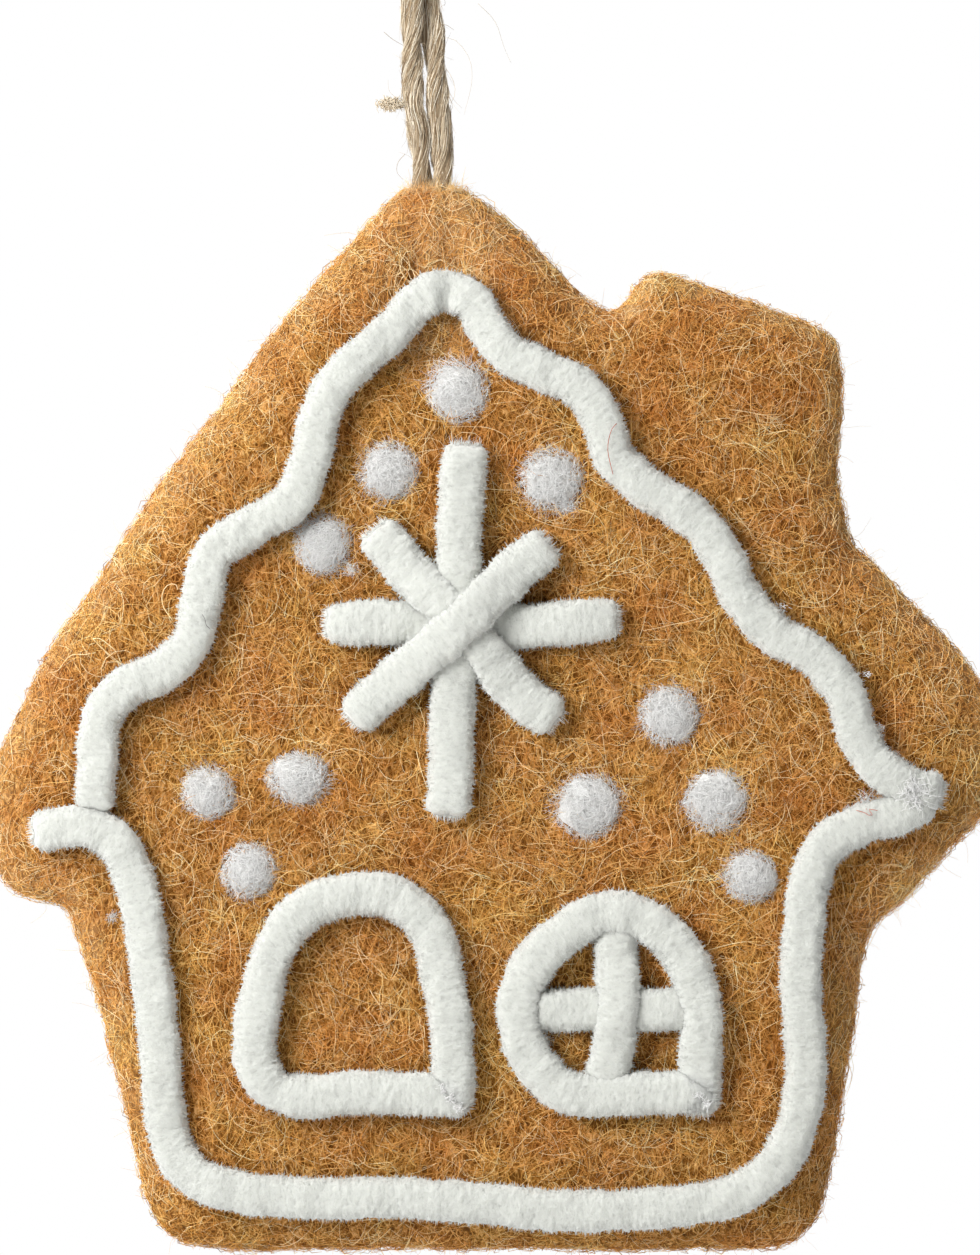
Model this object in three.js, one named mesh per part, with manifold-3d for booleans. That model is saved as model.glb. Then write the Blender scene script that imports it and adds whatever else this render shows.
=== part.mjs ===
// Gingerbread house ornament: a thick felt house on a twine loop, piped with chenille cord and dotted with wool.
// Millimetres. X runs to the right, Z runs up and the decorated face looks along -Y.
// The origin is the inside top of the twine loop, where a branch or a hook holds the ornament.
import * as THREE from "three";
import { mergeVertices } from "three/addons/utils/BufferGeometryUtils.js";
import Module from "manifold-3d";

// Driving dimensions
const houseWidth = 100; // across both eaves
const houseHeight = 106; // foot to peak
const feltThickness = 10;
const feltEdgeRounding = 2.4;
const feltSetBack = 0.8; // how far the middle of the felt lies behind the twine, so that the house hangs upright
const trimCordWidth = 4.3;
const frameCordWidth = 4.5;
const starCordWidth = 4.7;
const cordHeight = 3.8; // how far a laid cord stands proud of the felt
const dotDiameter = 5.8;
const dotRise = 2.5;
const twineDiameter = 2;
const loopDrop = 65; // inside top of the loop to the point where the house swings
const loopWidth = 12; // over the centres of the two strands, where they are widest apart
const loopLean = 4.2; // how far the hanging point lies to the left of the peak
const strandSpacing = 2.1; // between the centres of the two strands where they enter the felt
const tailLength = 12; // twine buried in the felt above its knot
const knotDiameter = 5;

// Clearances and working values
const seatGap = 0.3; // between pieces that touch
const swingGap = 0.3; // between the foot of the loop and the peak of the felt
const overrun = 1; // how far a cut runs past the face that it opens
const outlineStep = 3; // length of one facet of the felt's outline
const cordStep = 2.6; // length of one facet of a laid cord
const twineSteps = 44;
const twineSides = 8;
const sectionSides = 8;
const dotSides = 18;
const dotRings = 4;
const feltRoundingRings = 3;

// Shares of a laid cord's width and height
const sectionMiddleShare = 0.42; // height at which the cord is widest
const endLengthShare = 0.4;
const endScaleShare = 0.72;
const tipLengthShare = 1.3;
const tipScaleShare = 0.4;
// Shares of a dot's radius and rise
const dotFootShare = 0.86;
const dotBellyShare = 0.3;

// Places on the house are shares of its width, from the left eave, and of its height, from the foot.
// The felt's outline: each stretch is one smooth curve that ends at a corner, where the next one starts.
const feltOutlineShares = [
  // Right wall, foot and left wall, up to the corner under the left eave
  [
    [0.865, 0.27], [0.857, 0.213], [0.849, 0.157], [0.837, 0.081], [0.825, 0.034], [0.811, 0.012],
    [0.788, 0.002], [0.707, 0], [0.407, 0], [0.257, 0.001], [0.199, 0.003], [0.176, 0.01],
    [0.161, 0.03], [0.149, 0.081], [0.134, 0.138], [0.117, 0.194], [0.096, 0.27], [0.079, 0.324],
  ],
  // Left eave, left slope, peak, right slope and the notch beside the chimney
  [
    [0.047, 0.33], [0.018, 0.338], [0.003, 0.358], [0, 0.39], [0.002, 0.43], [0.009, 0.466],
    [0.026, 0.498], [0.068, 0.572], [0.109, 0.628], [0.16, 0.704], [0.207, 0.76], [0.265, 0.836],
    [0.328, 0.911], [0.384, 0.967], [0.4, 0.984], [0.416, 0.996], [0.439, 1], [0.462, 0.997],
    [0.48, 0.986], [0.507, 0.968], [0.55, 0.93], [0.587, 0.894], [0.605, 0.878], [0.62, 0.873],
    [0.633, 0.879], [0.645, 0.899], [0.656, 0.919],
  ],
  // Top of the chimney
  [
    [0.767, 0.884], [0.844, 0.855],
  ],
  // Right side of the chimney
  [
    [0.846, 0.798], [0.841, 0.739], [0.846, 0.704], [0.852, 0.66],
  ],
  // Right slope and right eave, back to the top of the wall
  [
    [0.88, 0.64], [0.931, 0.591], [0.967, 0.553], [0.986, 0.53], [0.997, 0.5], [1, 0.463],
    [0.997, 0.43], [0.986, 0.402], [0.964, 0.383], [0.925, 0.345], [0.893, 0.315], [0.878, 0.308],
  ],
];
const peakShare = 0.439; // where the twine leaves the felt, along its width

// Centre lines of the laid cords
const roofTrimShares = [
  [0.104, 0.418], [0.106, 0.452], [0.111, 0.5], [0.135, 0.528], [0.173, 0.543], [0.202, 0.575],
  [0.21, 0.611], [0.221, 0.651], [0.257, 0.677], [0.3, 0.702], [0.318, 0.738], [0.327, 0.779],
  [0.343, 0.812], [0.375, 0.841], [0.406, 0.868], [0.425, 0.889], [0.452, 0.901], [0.479, 0.889],
  [0.494, 0.865], [0.515, 0.842], [0.552, 0.824], [0.588, 0.808], [0.609, 0.776], [0.622, 0.742],
  [0.656, 0.713], [0.699, 0.687], [0.728, 0.652], [0.748, 0.612], [0.777, 0.58], [0.819, 0.556],
  [0.849, 0.525], [0.862, 0.485], [0.883, 0.453], [0.917, 0.435], [0.945, 0.431],
];
const wallTrimShares = [
  [0.043, 0.391], [0.087, 0.397], [0.119, 0.387], [0.14, 0.356], [0.153, 0.303], [0.161, 0.251],
  [0.168, 0.19], [0.173, 0.133], [0.186, 0.085], [0.22, 0.06], [0.307, 0.048], [0.403, 0.048],
  [0.487, 0.043], [0.567, 0.036], [0.657, 0.038], [0.735, 0.049], [0.783, 0.079], [0.804, 0.121],
  [0.811, 0.161], [0.809, 0.213], [0.806, 0.26], [0.81, 0.308], [0.817, 0.35], [0.834, 0.381],
  [0.867, 0.397], [0.933, 0.411],
];
// The door's cord starts at the right end of its sill and comes back down to just above it.
const doorFrameShares = [
  [0.473, 0.143], [0.407, 0.146], [0.359, 0.147], [0.308, 0.143], [0.277, 0.154], [0.263, 0.184],
  [0.269, 0.237], [0.283, 0.282], [0.312, 0.319], [0.357, 0.333], [0.405, 0.328], [0.437, 0.3],
  [0.45, 0.256], [0.458, 0.211],
];
const doorEndShare = 0.455;
// The window's cord starts at the foot of its right side and comes back along the sill to just beside it.
const windowFrameShares = [
  [0.704, 0.14], [0.707, 0.194], [0.707, 0.223], [0.693, 0.27], [0.659, 0.305], [0.615, 0.316],
  [0.573, 0.297], [0.538, 0.265], [0.525, 0.223], [0.539, 0.177], [0.576, 0.147], [0.627, 0.146],
];
const windowEndShare = 0.15;
const windowCrossbarShares = [[0.531, 0.2245], [0.616, 0.2245], [0.7, 0.2245]];
const windowUprightShares = [[0.621, 0.308], [0.625, 0.232], [0.619, 0.185], [0.609, 0.15]];
const windowCentreShare = [0.624, 0.2245];

// The star's four cords, the lowest first, and where they cross
const starCentreShare = [0.466, 0.587];
const starCordShares = {
  star_cord_level: [[0.335, 0.588], [0.407, 0.588], [0.466, 0.586], [0.527, 0.585], [0.623, 0.592]],
  star_cord_upright: [[0.472, 0.754], [0.467, 0.685], [0.464, 0.61], [0.461, 0.534], [0.456, 0.408]],
  star_cord_falling: [[0.383, 0.675], [0.415, 0.638], [0.469, 0.587], [0.522, 0.526], [0.562, 0.496]],
  star_cord_rising: [[0.556, 0.661], [0.527, 0.64], [0.467, 0.586], [0.407, 0.537], [0.36, 0.497]],
};
const crossingRise = 1.1; // how much higher each cord of a crossing lies than the one that it covers
const starCrossingReach = 11; // distance from the crossing at which a raised cord lies on the felt again
const windowCrossingReach = 6.5;

// Dots: place, then the dot's width and height as shares of the dots' diameter
const dotShares = {
  dot_peak: [0.465, 0.803, 1.07, 1.07],
  dot_upper_left: [0.398, 0.731, 0.97, 0.97],
  dot_upper_right: [0.558, 0.724, 1.03, 1.03],
  dot_left_slope: [0.33, 0.661, 0.95, 0.98],
  dot_left_middle: [0.305, 0.442, 1.07, 0.86],
  dot_left_eave: [0.216, 0.428, 0.9, 0.9],
  dot_left_wall: [0.256, 0.355, 0.93, 0.93],
  dot_centre: [0.595, 0.416, 1.1, 1.1],
  dot_right_slope: [0.675, 0.501, 1, 1],
  dot_right_eave: [0.722, 0.421, 1.07, 1.07],
  dot_right_wall: [0.757, 0.349, 0.9, 0.9],
};

// The loop's route, from the foot of the left strand over the top to the foot of the right one:
// shares of the loop's width from its middle line, of the twine's diameter in depth, and of the loop's drop
const twineRouteShares = [
  [-0.0875, 0, 0], [-0.0875, 0, 0.05], [-0.117, 0, 0.11], [-0.104, -0.2, 0.18], [-0.071, -0.46, 0.27],
  [-0.083, -0.35, 0.36], [-0.16, -0.12, 0.47], [-0.28, 0, 0.6], [-0.4, 0, 0.73], [-0.475, 0, 0.83],
  [-0.505, 0, 0.885], [-0.508, 0, 0.923], [-0.44, 0, 0.9692], [-0.25, 0, 1.003], [0, 0, 1.0154],
  [0.25, 0, 1.003], [0.44, 0, 0.9692], [0.508, 0, 0.923], [0.505, 0, 0.885], [0.475, 0, 0.83],
  [0.4, 0, 0.73], [0.28, 0, 0.6], [0.16, 0.12, 0.47], [0.083, 0.35, 0.36], [0.071, 0.46, 0.27],
  [0.0875, 0.2, 0.18], [0.092, 0, 0.11], [0.0875, 0, 0.05], [0.0875, 0, 0],
];

// Sizes that follow from the ones above
const twineRadius = twineDiameter / 2;
const strandOffset = strandSpacing / 2;
const swingRise = twineRadius + swingGap; // height of the swing line above the peak
const feltFront = feltSetBack - feltThickness / 2;
const feltBack = feltSetBack + feltThickness / 2;
const front = new THREE.Vector3(0, -1, 0);

const wasm = await Module();
wasm.setup();

// Finishes
const feltFinish = { color: 0xb57a40, roughness: 0.95, metalness: 0 };
const chenilleFinish = { color: 0xe6e7df, roughness: 0.9, metalness: 0 };
const woolFinish = { color: 0xdad9d6, roughness: 0.95, metalness: 0 };
const twineFinish = { color: 0xc3ab88, roughness: 0.9, metalness: 0 };

// A point of the house's face, in millimetres from its lower left corner
function onHouse([across, up]) {
  return new THREE.Vector3(across * houseWidth, 0, up * houseHeight);
}

function smoothCurve(points) {
  return new THREE.CatmullRomCurve3(points, false, "centripetal");
}

// A closed geometry as a solid that can be cut and joined
function solidOf(geometry) {
  const bare = geometry.index ? geometry.toNonIndexed() : geometry.clone();
  bare.deleteAttribute("normal");
  bare.deleteAttribute("uv");
  const merged = mergeVertices(bare);
  return new wasm.Manifold(
    new wasm.Mesh({
      numProp: 3,
      vertProperties: merged.attributes.position.array,
      triVerts: new Uint32Array(merged.index.array),
    }),
  );
}

function geometryOf(solid) {
  const mesh = solid.getMesh();
  const geometry = new THREE.BufferGeometry();
  geometry.setAttribute("position", new THREE.BufferAttribute(mesh.vertProperties, mesh.numProp));
  geometry.setIndex(new THREE.BufferAttribute(mesh.triVerts, 1));
  geometry.computeVertexNormals();
  return geometry;
}

function namedMesh(name, solid, finish) {
  const mesh = new THREE.Mesh(geometryOf(solid), new THREE.MeshStandardMaterial(finish));
  mesh.name = name;
  return mesh;
}

// The felt's outline as one closed shape, in facets of about the outline step
function feltShape() {
  const lastStretch = feltOutlineShares[feltOutlineShares.length - 1];
  let corner = lastStretch[lastStretch.length - 1];
  const points = [];
  for (const stretch of feltOutlineShares) {
    const curve = smoothCurve([corner, ...stretch].map(onHouse));
    const facets = Math.max(1, Math.round(curve.getLength() / outlineStep));
    for (const point of curve.getSpacedPoints(facets).slice(0, facets)) {
      points.push(new THREE.Vector2(point.x, point.z));
    }
    corner = stretch[stretch.length - 1];
  }
  return new THREE.Shape(points);
}

// The house's slab, with rounded edges and flat faces, less the channel in which the twine is buried
function feltBody() {
  const slab = new THREE.ExtrudeGeometry(feltShape(), {
    depth: feltThickness - 2 * feltEdgeRounding,
    bevelThickness: feltEdgeRounding,
    bevelSize: feltEdgeRounding,
    bevelOffset: -feltEdgeRounding,
    bevelSegments: feltRoundingRings,
  });
  slab.applyMatrix4(
    new THREE.Matrix4().makeBasis(new THREE.Vector3(1, 0, 0), new THREE.Vector3(0, 0, 1), front),
  );
  slab.translate(0, feltBack - feltEdgeRounding, 0);
  return solidOf(slab).subtract(buriedTwine(seatGap, overrun));
}

// Half of a rounded cord with a flat side: X is its height off the felt, Y runs across it.
function cordSection(width, grow) {
  const middle = cordHeight * sectionMiddleShare;
  const crown = cordHeight - middle;
  const dip = Math.asin(middle / crown);
  const points = [];
  for (let side = 0; side <= sectionSides; side++) {
    const angle = -dip + (side / sectionSides) * (Math.PI + 2 * dip);
    const along = Math.sin(angle) * (crown + grow);
    const across = Math.cos(angle) * (width / 2 + grow);
    points.push(new THREE.Vector2(Math.max(middle + along, -grow), across));
  }
  return new THREE.Shape(points);
}

// A cord laid on the felt along a route, flat side down. It narrows over its last stretch at both ends, and
// raised is its lift off the felt at a point of the route.
function laidCord(route, width, { grow = 0, raised = () => 0, endLength, endScale } = {}) {
  const length = endLength ?? width * endLengthShare;
  const scale = endScale ?? endScaleShare;
  const curve = smoothCurve(route);
  const total = curve.getLength();
  const between = Math.ceil((total - 2 * length) / cordStep);
  const stations = [0];
  for (let step = 0; step <= between; step++) {
    stations.push(length + (step / between) * (total - 2 * length));
  }
  stations.push(total);
  const steps = stations.length - 1;
  const cord = new THREE.ExtrudeGeometry(cordSection(width, grow), { depth: 1, steps, bevelEnabled: false });
  const places = cord.attributes.position;
  const place = new THREE.Vector3();
  for (let index = 0; index < places.count; index++) {
    place.fromBufferAttribute(places, index);
    const station = stations[Math.round(place.z * steps)];
    const centre = curve.getPointAt(station / total);
    const tangent = curve.getTangentAt(station / total);
    const across = new THREE.Vector3().crossVectors(tangent, front).normalize();
    const fromEnd = Math.min(station, total - station);
    const narrow = THREE.MathUtils.lerp(scale, 1, Math.min(1, fromEnd / length));
    const height = place.x > 0 ? place.x * narrow : place.x;
    const point = centre.clone().addScaledVector(across, place.y * narrow);
    point.addScaledVector(front, height + raised(centre));
    places.setXYZ(index, point.x, point.y + feltFront, point.z);
  }
  return solidOf(cord);
}

// The lift of a cord that passes over others at a crossing
function overCrossing(centreShare, rise, reach) {
  const crossing = onHouse(centreShare);
  return (centre) => rise * (1 - THREE.MathUtils.smoothstep(centre.distanceTo(crossing), 0, reach));
}

// A cord with the same route, larger all round by the gap, cuts whatever lies under it or beside it.
function cordAndCutter(route, width, options = {}) {
  return {
    cord: laidCord(route, width, options),
    cutter: laidCord(route, width, { ...options, grow: seatGap }),
  };
}

function roofTrim() {
  return cordAndCutter(roofTrimShares.map(onHouse), trimCordWidth);
}

// The wall trim starts at the left eave, runs down, under the windows and up, and gives way to the roof's end.
function wallTrim() {
  return cordAndCutter(wallTrimShares.map(onHouse), trimCordWidth);
}

function doorFrame() {
  const route = doorFrameShares.map(onHouse);
  const sill = route[0].z + frameCordWidth / 2 + seatGap;
  route.push(new THREE.Vector3(doorEndShare * houseWidth, 0, sill));
  return cordAndCutter(route, frameCordWidth);
}

function windowFrame() {
  const route = windowFrameShares.map(onHouse);
  const jamb = route[0].x - frameCordWidth / 2 - seatGap;
  route.push(new THREE.Vector3(jamb, 0, windowEndShare * houseHeight));
  return cordAndCutter(route, frameCordWidth);
}

// The window's upright passes over its crossbar, and both stop short of the frame.
function windowBars(frameCutter) {
  const crossbar = laidCord(windowCrossbarShares.map(onHouse), frameCordWidth);
  const upright = cordAndCutter(windowUprightShares.map(onHouse), frameCordWidth, {
    raised: overCrossing(windowCentreShare, crossingRise, windowCrossingReach),
  });
  return {
    window_crossbar: crossbar.subtract(upright.cutter).subtract(frameCutter),
    window_upright: upright.cord.subtract(frameCutter),
  };
}

// Each cord of the star rises over the ones laid before it. The first has drawn-out tips.
function star() {
  const names = Object.keys(starCordShares);
  const laid = names.map((name, layer) => {
    const options = { raised: overCrossing(starCentreShare, layer * crossingRise, starCrossingReach) };
    if (layer === 0) {
      options.endLength = starCordWidth * tipLengthShare;
      options.endScale = tipScaleShare;
    }
    return cordAndCutter(starCordShares[name].map(onHouse), starCordWidth, options);
  });
  const cords = {};
  names.forEach((name, layer) => {
    cords[name] = laid.slice(layer + 1).reduce((cord, upper) => cord.subtract(upper.cutter), laid[layer].cord);
  });
  return { cords, cutters: laid.map((piece) => piece.cutter) };
}

// A dot is a low dome with a flat foot, turned to face the front.
function woolDot([across, up, widthShare, heightShare]) {
  const radius = dotDiameter / 2;
  const profile = [new THREE.Vector2(0, 0), new THREE.Vector2(radius * dotFootShare, 0)];
  for (let ring = 0; ring < dotRings; ring++) {
    const angle = (ring / dotRings) * (Math.PI / 2);
    const belly = dotRise * dotBellyShare;
    profile.push(
      new THREE.Vector2(radius * Math.cos(angle), belly + (dotRise - belly) * Math.sin(angle)),
    );
  }
  profile.push(new THREE.Vector2(0, dotRise));
  const dome = new THREE.LatheGeometry(profile, dotSides);
  const turn = new THREE.Matrix4().makeBasis(
    new THREE.Vector3(1, 0, 0),
    front,
    new THREE.Vector3(0, 0, -1),
  );
  dome.applyMatrix4(turn);
  dome.scale(widthShare, 1, heightShare);
  const centre = onHouse([across, up]);
  dome.translate(centre.x, feltFront, centre.z);
  return solidOf(dome);
}

// A straight round stretch or a bent one, along a curve
function twineTube(curve, steps, radius) {
  const section = new THREE.Shape(
    Array.from({ length: twineSides }, (_, side) => {
      const angle = (side / twineSides) * 2 * Math.PI;
      return new THREE.Vector2(Math.cos(angle) * radius, Math.sin(angle) * radius);
    }),
  );
  return solidOf(new THREE.ExtrudeGeometry(section, { steps, extrudePath: curve, bevelEnabled: false }));
}

function ball(radius, centre) {
  return solidOf(new THREE.SphereGeometry(radius, twineSides, twineSides).translate(centre.x, centre.y, centre.z));
}

// The twine inside the felt: two tails side by side, tied in one knot. Grown all round, it cuts its own channel.
function buriedTwine(grow, above) {
  const knotRadius = knotDiameter / 2;
  const middle = peakShare * houseWidth;
  const top = houseHeight + above;
  const bottom = houseHeight - tailLength;
  const knot = new THREE.SphereGeometry(1, twineSides * 2, twineSides);
  const halfWidth = knotRadius + grow;
  const halfDepth = twineDiameter + grow;
  knot.scale(halfWidth, halfDepth, halfWidth);
  knot.translate(middle, 0, bottom - knotRadius / 2);
  let twine = solidOf(knot);
  for (const side of [-1, 1]) {
    const across = middle + side * strandOffset;
    const tail = new THREE.LineCurve3(
      new THREE.Vector3(across, 0, bottom),
      new THREE.Vector3(across, 0, top),
    );
    const end = new THREE.Vector3(middle + side * knotRadius, 0, bottom - knotDiameter - grow);
    const tag = new THREE.LineCurve3(new THREE.Vector3(across, 0, bottom - knotRadius), end);
    twine = twine.add(twineTube(tail, 1, twineRadius + grow)).add(twineTube(tag, 1, twineRadius + grow));
  }
  return twine;
}

// The free loop, from just above the felt over the hanging point and back
function twineLoop() {
  const route = twineRouteShares.map(([across, depth, up]) => new THREE.Vector3(
    loopLean * (1 - up) + across * loopWidth,
    depth * twineDiameter,
    (up - 1) * loopDrop,
  ));
  const feet = [route[0], route[route.length - 1]];
  const loop = twineTube(smoothCurve(route), twineSteps, twineRadius);
  return feet.reduce((twine, foot) => twine.add(ball(twineRadius, foot)), loop);
}

// The assembly: the loop stays with what holds it, and the house hangs from it.
const ornament = new THREE.Group();

const hanger = new THREE.Group();
hanger.add(namedMesh("twine_loop", twineLoop(), twineFinish));
ornament.add(hanger);

const house = new THREE.Group();
house.position.set(loopLean - peakShare * houseWidth, 0, -loopDrop - swingRise - houseHeight);
ornament.add(house);

const roof = roofTrim();
const wall = wallTrim();
const door = doorFrame();
const pane = windowFrame();
const stitchedStar = star();

house.add(namedMesh("felt_body", feltBody(), feltFinish));
house.add(namedMesh("twine_knot", buriedTwine(0, 0), twineFinish));
house.add(namedMesh("roof_trim", roof.cord, chenilleFinish));
house.add(namedMesh("wall_trim", wall.cord.subtract(roof.cutter), chenilleFinish));
house.add(namedMesh("door_frame", door.cord, chenilleFinish));
house.add(namedMesh("window_frame", pane.cord, chenilleFinish));
for (const [name, bar] of Object.entries(windowBars(pane.cutter))) {
  house.add(namedMesh(name, bar, chenilleFinish));
}
for (const [name, cord] of Object.entries(stitchedStar.cords)) {
  house.add(namedMesh(name, cord, chenilleFinish));
}

// A dot gives way to every cord that it would touch.
const cutters = [roof.cutter, wall.cutter, door.cutter, pane.cutter, ...stitchedStar.cutters];
for (const [name, shares] of Object.entries(dotShares)) {
  const dot = cutters.reduce((wool, cutter) => wool.subtract(cutter), woolDot(shares));
  house.add(namedMesh(name, dot, woolFinish));
}

export default ornament;
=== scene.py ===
# %% [markdown]
# # A felt gingerbread house on a twine loop
# The ornament is a thick slab of needle-felted wool. White chenille cord is laid on it as icing, and small
# wool dots sit between the cords. A loop of jute twine comes out of the peak of the roof.
# Wool is hard to fake with a bump alone, because its edge is seen against a white ground. So every soft
# surface here is a plain form first, and then gets real fibres: thin closed tubes, thousands to a piece.

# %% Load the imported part
import math
import bmesh
import bpy
import numpy as np
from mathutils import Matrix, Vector, bvhtree, kdtree, noise


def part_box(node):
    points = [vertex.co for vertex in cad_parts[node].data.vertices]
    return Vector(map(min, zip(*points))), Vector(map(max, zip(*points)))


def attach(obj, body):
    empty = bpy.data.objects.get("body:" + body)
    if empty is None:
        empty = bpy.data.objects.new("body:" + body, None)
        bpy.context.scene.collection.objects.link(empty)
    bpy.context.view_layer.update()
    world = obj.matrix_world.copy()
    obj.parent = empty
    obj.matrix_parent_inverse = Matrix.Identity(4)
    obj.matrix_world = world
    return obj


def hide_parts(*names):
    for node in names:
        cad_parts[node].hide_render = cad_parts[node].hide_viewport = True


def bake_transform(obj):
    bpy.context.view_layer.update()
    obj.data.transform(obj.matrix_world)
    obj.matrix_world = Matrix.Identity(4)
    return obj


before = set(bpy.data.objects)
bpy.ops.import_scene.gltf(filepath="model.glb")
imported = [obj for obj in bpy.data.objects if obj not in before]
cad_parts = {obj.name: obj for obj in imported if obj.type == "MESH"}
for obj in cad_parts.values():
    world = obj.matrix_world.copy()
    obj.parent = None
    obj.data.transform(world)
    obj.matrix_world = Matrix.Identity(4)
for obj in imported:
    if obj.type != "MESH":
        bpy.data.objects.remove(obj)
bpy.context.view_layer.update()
MM = 0.001
print("part loaded,", len(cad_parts), "solids")

# %% [markdown]
# ## Sizes
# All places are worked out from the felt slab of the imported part. A place on the house's face is given as a
# share of its width, from the left eave, and a share of its height, from the foot. The cords follow the same
# lists of shares as the solid part does, but for a few of their ends.

# %% Sizes read from the slab
slab_low, slab_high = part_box("felt_body")
HOUSE_WIDTH = slab_high.x - slab_low.x
HOUSE_HEIGHT = slab_high.z - slab_low.z
TWINE_LAYER = -slab_low.y
FACE_Y = slab_low.y
LOOP_DROP = 65 * MM
LOOP_LEAN = 4.2 * MM
LOOP_WIDTH = 12 * MM
TWINE_DIAMETER = 2 * MM
CORD_HEIGHT = 3.8 * MM
FRONT = np.array([0.0, -1.0, 0.0])
chance = np.random.default_rng(2024)


def on_house(across, up, lift=0.0):
    """A point of the face, in metres, from its two shares and its lift off the felt."""
    return np.array([slab_low.x + across * HOUSE_WIDTH, FACE_Y - lift, slab_low.z + up * HOUSE_HEIGHT])


print("house is", round(HOUSE_WIDTH / MM, 1), "by", round(HOUSE_HEIGHT / MM, 1), "mm")

# %% [markdown]
# ## Camera
# The photograph looks straight at the face through a long lens, so the camera stands more than a metre away.
# Its frame is 98 mm wide and 125.5 mm high where the ornament hangs. In a portrait picture the sensor's width
# is the long side of the frame, which gives the focal length.

# %% Camera
VIEW_HEIGHT = 125.5 * MM
VIEW_CENTRE_SHARES = (0.497, 0.5835)
CAMERA_DISTANCE = 1.2


def put_in_scene(name, data):
    made = bpy.data.objects.new(name, data)
    bpy.context.scene.collection.objects.link(made)
    return made


camera_data = bpy.data.cameras.new("photo_camera")
camera = put_in_scene("photo_camera", camera_data)
bpy.context.scene.camera = camera
camera_data.lens = camera_data.sensor_width * CAMERA_DISTANCE / VIEW_HEIGHT
centre = on_house(*VIEW_CENTRE_SHARES)
camera.location = (centre[0], -CAMERA_DISTANCE, centre[2])
camera.rotation_euler = (math.radians(90), 0, 0)
camera_data.clip_start, camera_data.clip_end = 0.05, 20
print("lens", round(camera_data.lens), "mm")

# %% [markdown]
# ## Curves through a few points
# A cord is described by the points it passes. The centripetal form of the Catmull-Rom curve goes through all
# of them without loops or overshoot. From it the cord needs evenly spaced stations and a direction at each.


# %% Smooth routes
def smooth_route(points, step):
    """Evenly spaced points and unit directions on a smooth curve through the given points."""
    points = np.array(points, float)
    padded = np.vstack([2 * points[0] - points[1], points, 2 * points[-1] - points[-2]])
    dense = []
    for a, b, c, d in zip(padded, padded[1:], padded[2:], padded[3:]):
        knots = np.cumsum([0] + [np.linalg.norm(q - p) ** 0.5 for p, q in ((a, b), (b, c), (c, d))])
        for t in np.linspace(knots[1], knots[2], 24, endpoint=False):
            ab, bc, cd = (blend_points(p, q, knots[i], knots[i + 1], t)
                          for i, (p, q) in enumerate(((a, b), (b, c), (c, d))))
            abc = blend_points(ab, bc, knots[0], knots[2], t)
            bcd = blend_points(bc, cd, knots[1], knots[3], t)
            dense.append(blend_points(abc, bcd, knots[1], knots[2], t))
    dense = np.vstack([dense, points[-1]])
    travelled = np.concatenate([[0], np.cumsum(np.linalg.norm(np.diff(dense, axis=0), axis=1))])
    count = max(2, round(travelled[-1] / step))
    stations = np.linspace(0, travelled[-1], count + 1)
    places = np.column_stack([np.interp(stations, travelled, dense[:, i]) for i in range(3)])
    directions = np.gradient(places, axis=0)
    return places, directions / np.linalg.norm(directions, axis=1)[:, None], stations


def blend_points(p, q, start, end, t):
    return p + (q - p) * (t - start) / (end - start)


print("routes are smoothed")

# %% [markdown]
# ## Rolling a tube
# A tube with thousands of faces is quickest made from a flat grid: the operator makes the grid, its columns
# are moved round the cord's section, the seam is merged and the two ends are closed. What the section does
# along the way, such as ridges or a twist, is one function of place and angle.


# %% Rolled tubes
def read_all(items, key, width=1, kind=float):
    """One value, or a few in a row, of every vertex, face or corner."""
    values = np.zeros(len(items) * width, kind)
    items.foreach_get(key, values)
    return values.reshape(-1, width) if width > 1 else values


def rolled_tube(name, rings, sides, surface):
    """A closed tube. surface(ring, angle) gives the points of the grid's columns as an array."""
    mesh = bpy.data.meshes.new(name)
    grid = bmesh.new()
    bmesh.ops.create_grid(grid, x_segments=rings - 1, y_segments=sides, size=1)
    grid.to_mesh(mesh)
    grid.free()
    places = read_all(mesh.vertices, "co", 3)
    ring = np.rint((places[:, 0] + 1) / 2 * (rings - 1)).astype(int)
    turn = np.rint((places[:, 1] + 1) / 2 * sides).astype(int) % sides
    mesh.vertices.foreach_set("co", surface(ring, turn / sides * 2 * math.pi).ravel())
    lay = mesh.attributes.new("lay", "FLOAT_VECTOR", "POINT")
    lay.data.foreach_set("vector", np.column_stack([ring, turn / sides, 0 * ring]).astype(float).ravel())
    tube = bmesh.new()
    tube.from_mesh(mesh)
    bmesh.ops.remove_doubles(tube, verts=tube.verts, dist=1e-7)
    bmesh.ops.holes_fill(tube, edges=[e for e in tube.edges if e.is_boundary], sides=0)
    bmesh.ops.recalc_face_normals(tube, faces=tube.faces)
    for face in tube.faces:
        face.smooth = True
    tube.to_mesh(mesh)
    tube.free()
    return put_in_scene(name, mesh)


print("tubes can be rolled")

# %% [markdown]
# ## The twine loop
# The loop is 2 mm jute of two plies twisted together. It hangs from its inside top, so both strands are taut
# and run side by side into the peak of the roof. Its section is two round lobes, and turning that section as
# it travels lays the plies round each other, with a real groove between them.
# The picture shows only the loop's foot. Its 14 cm of twine, with the top 65 mm above the felt, are assumed.

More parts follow.
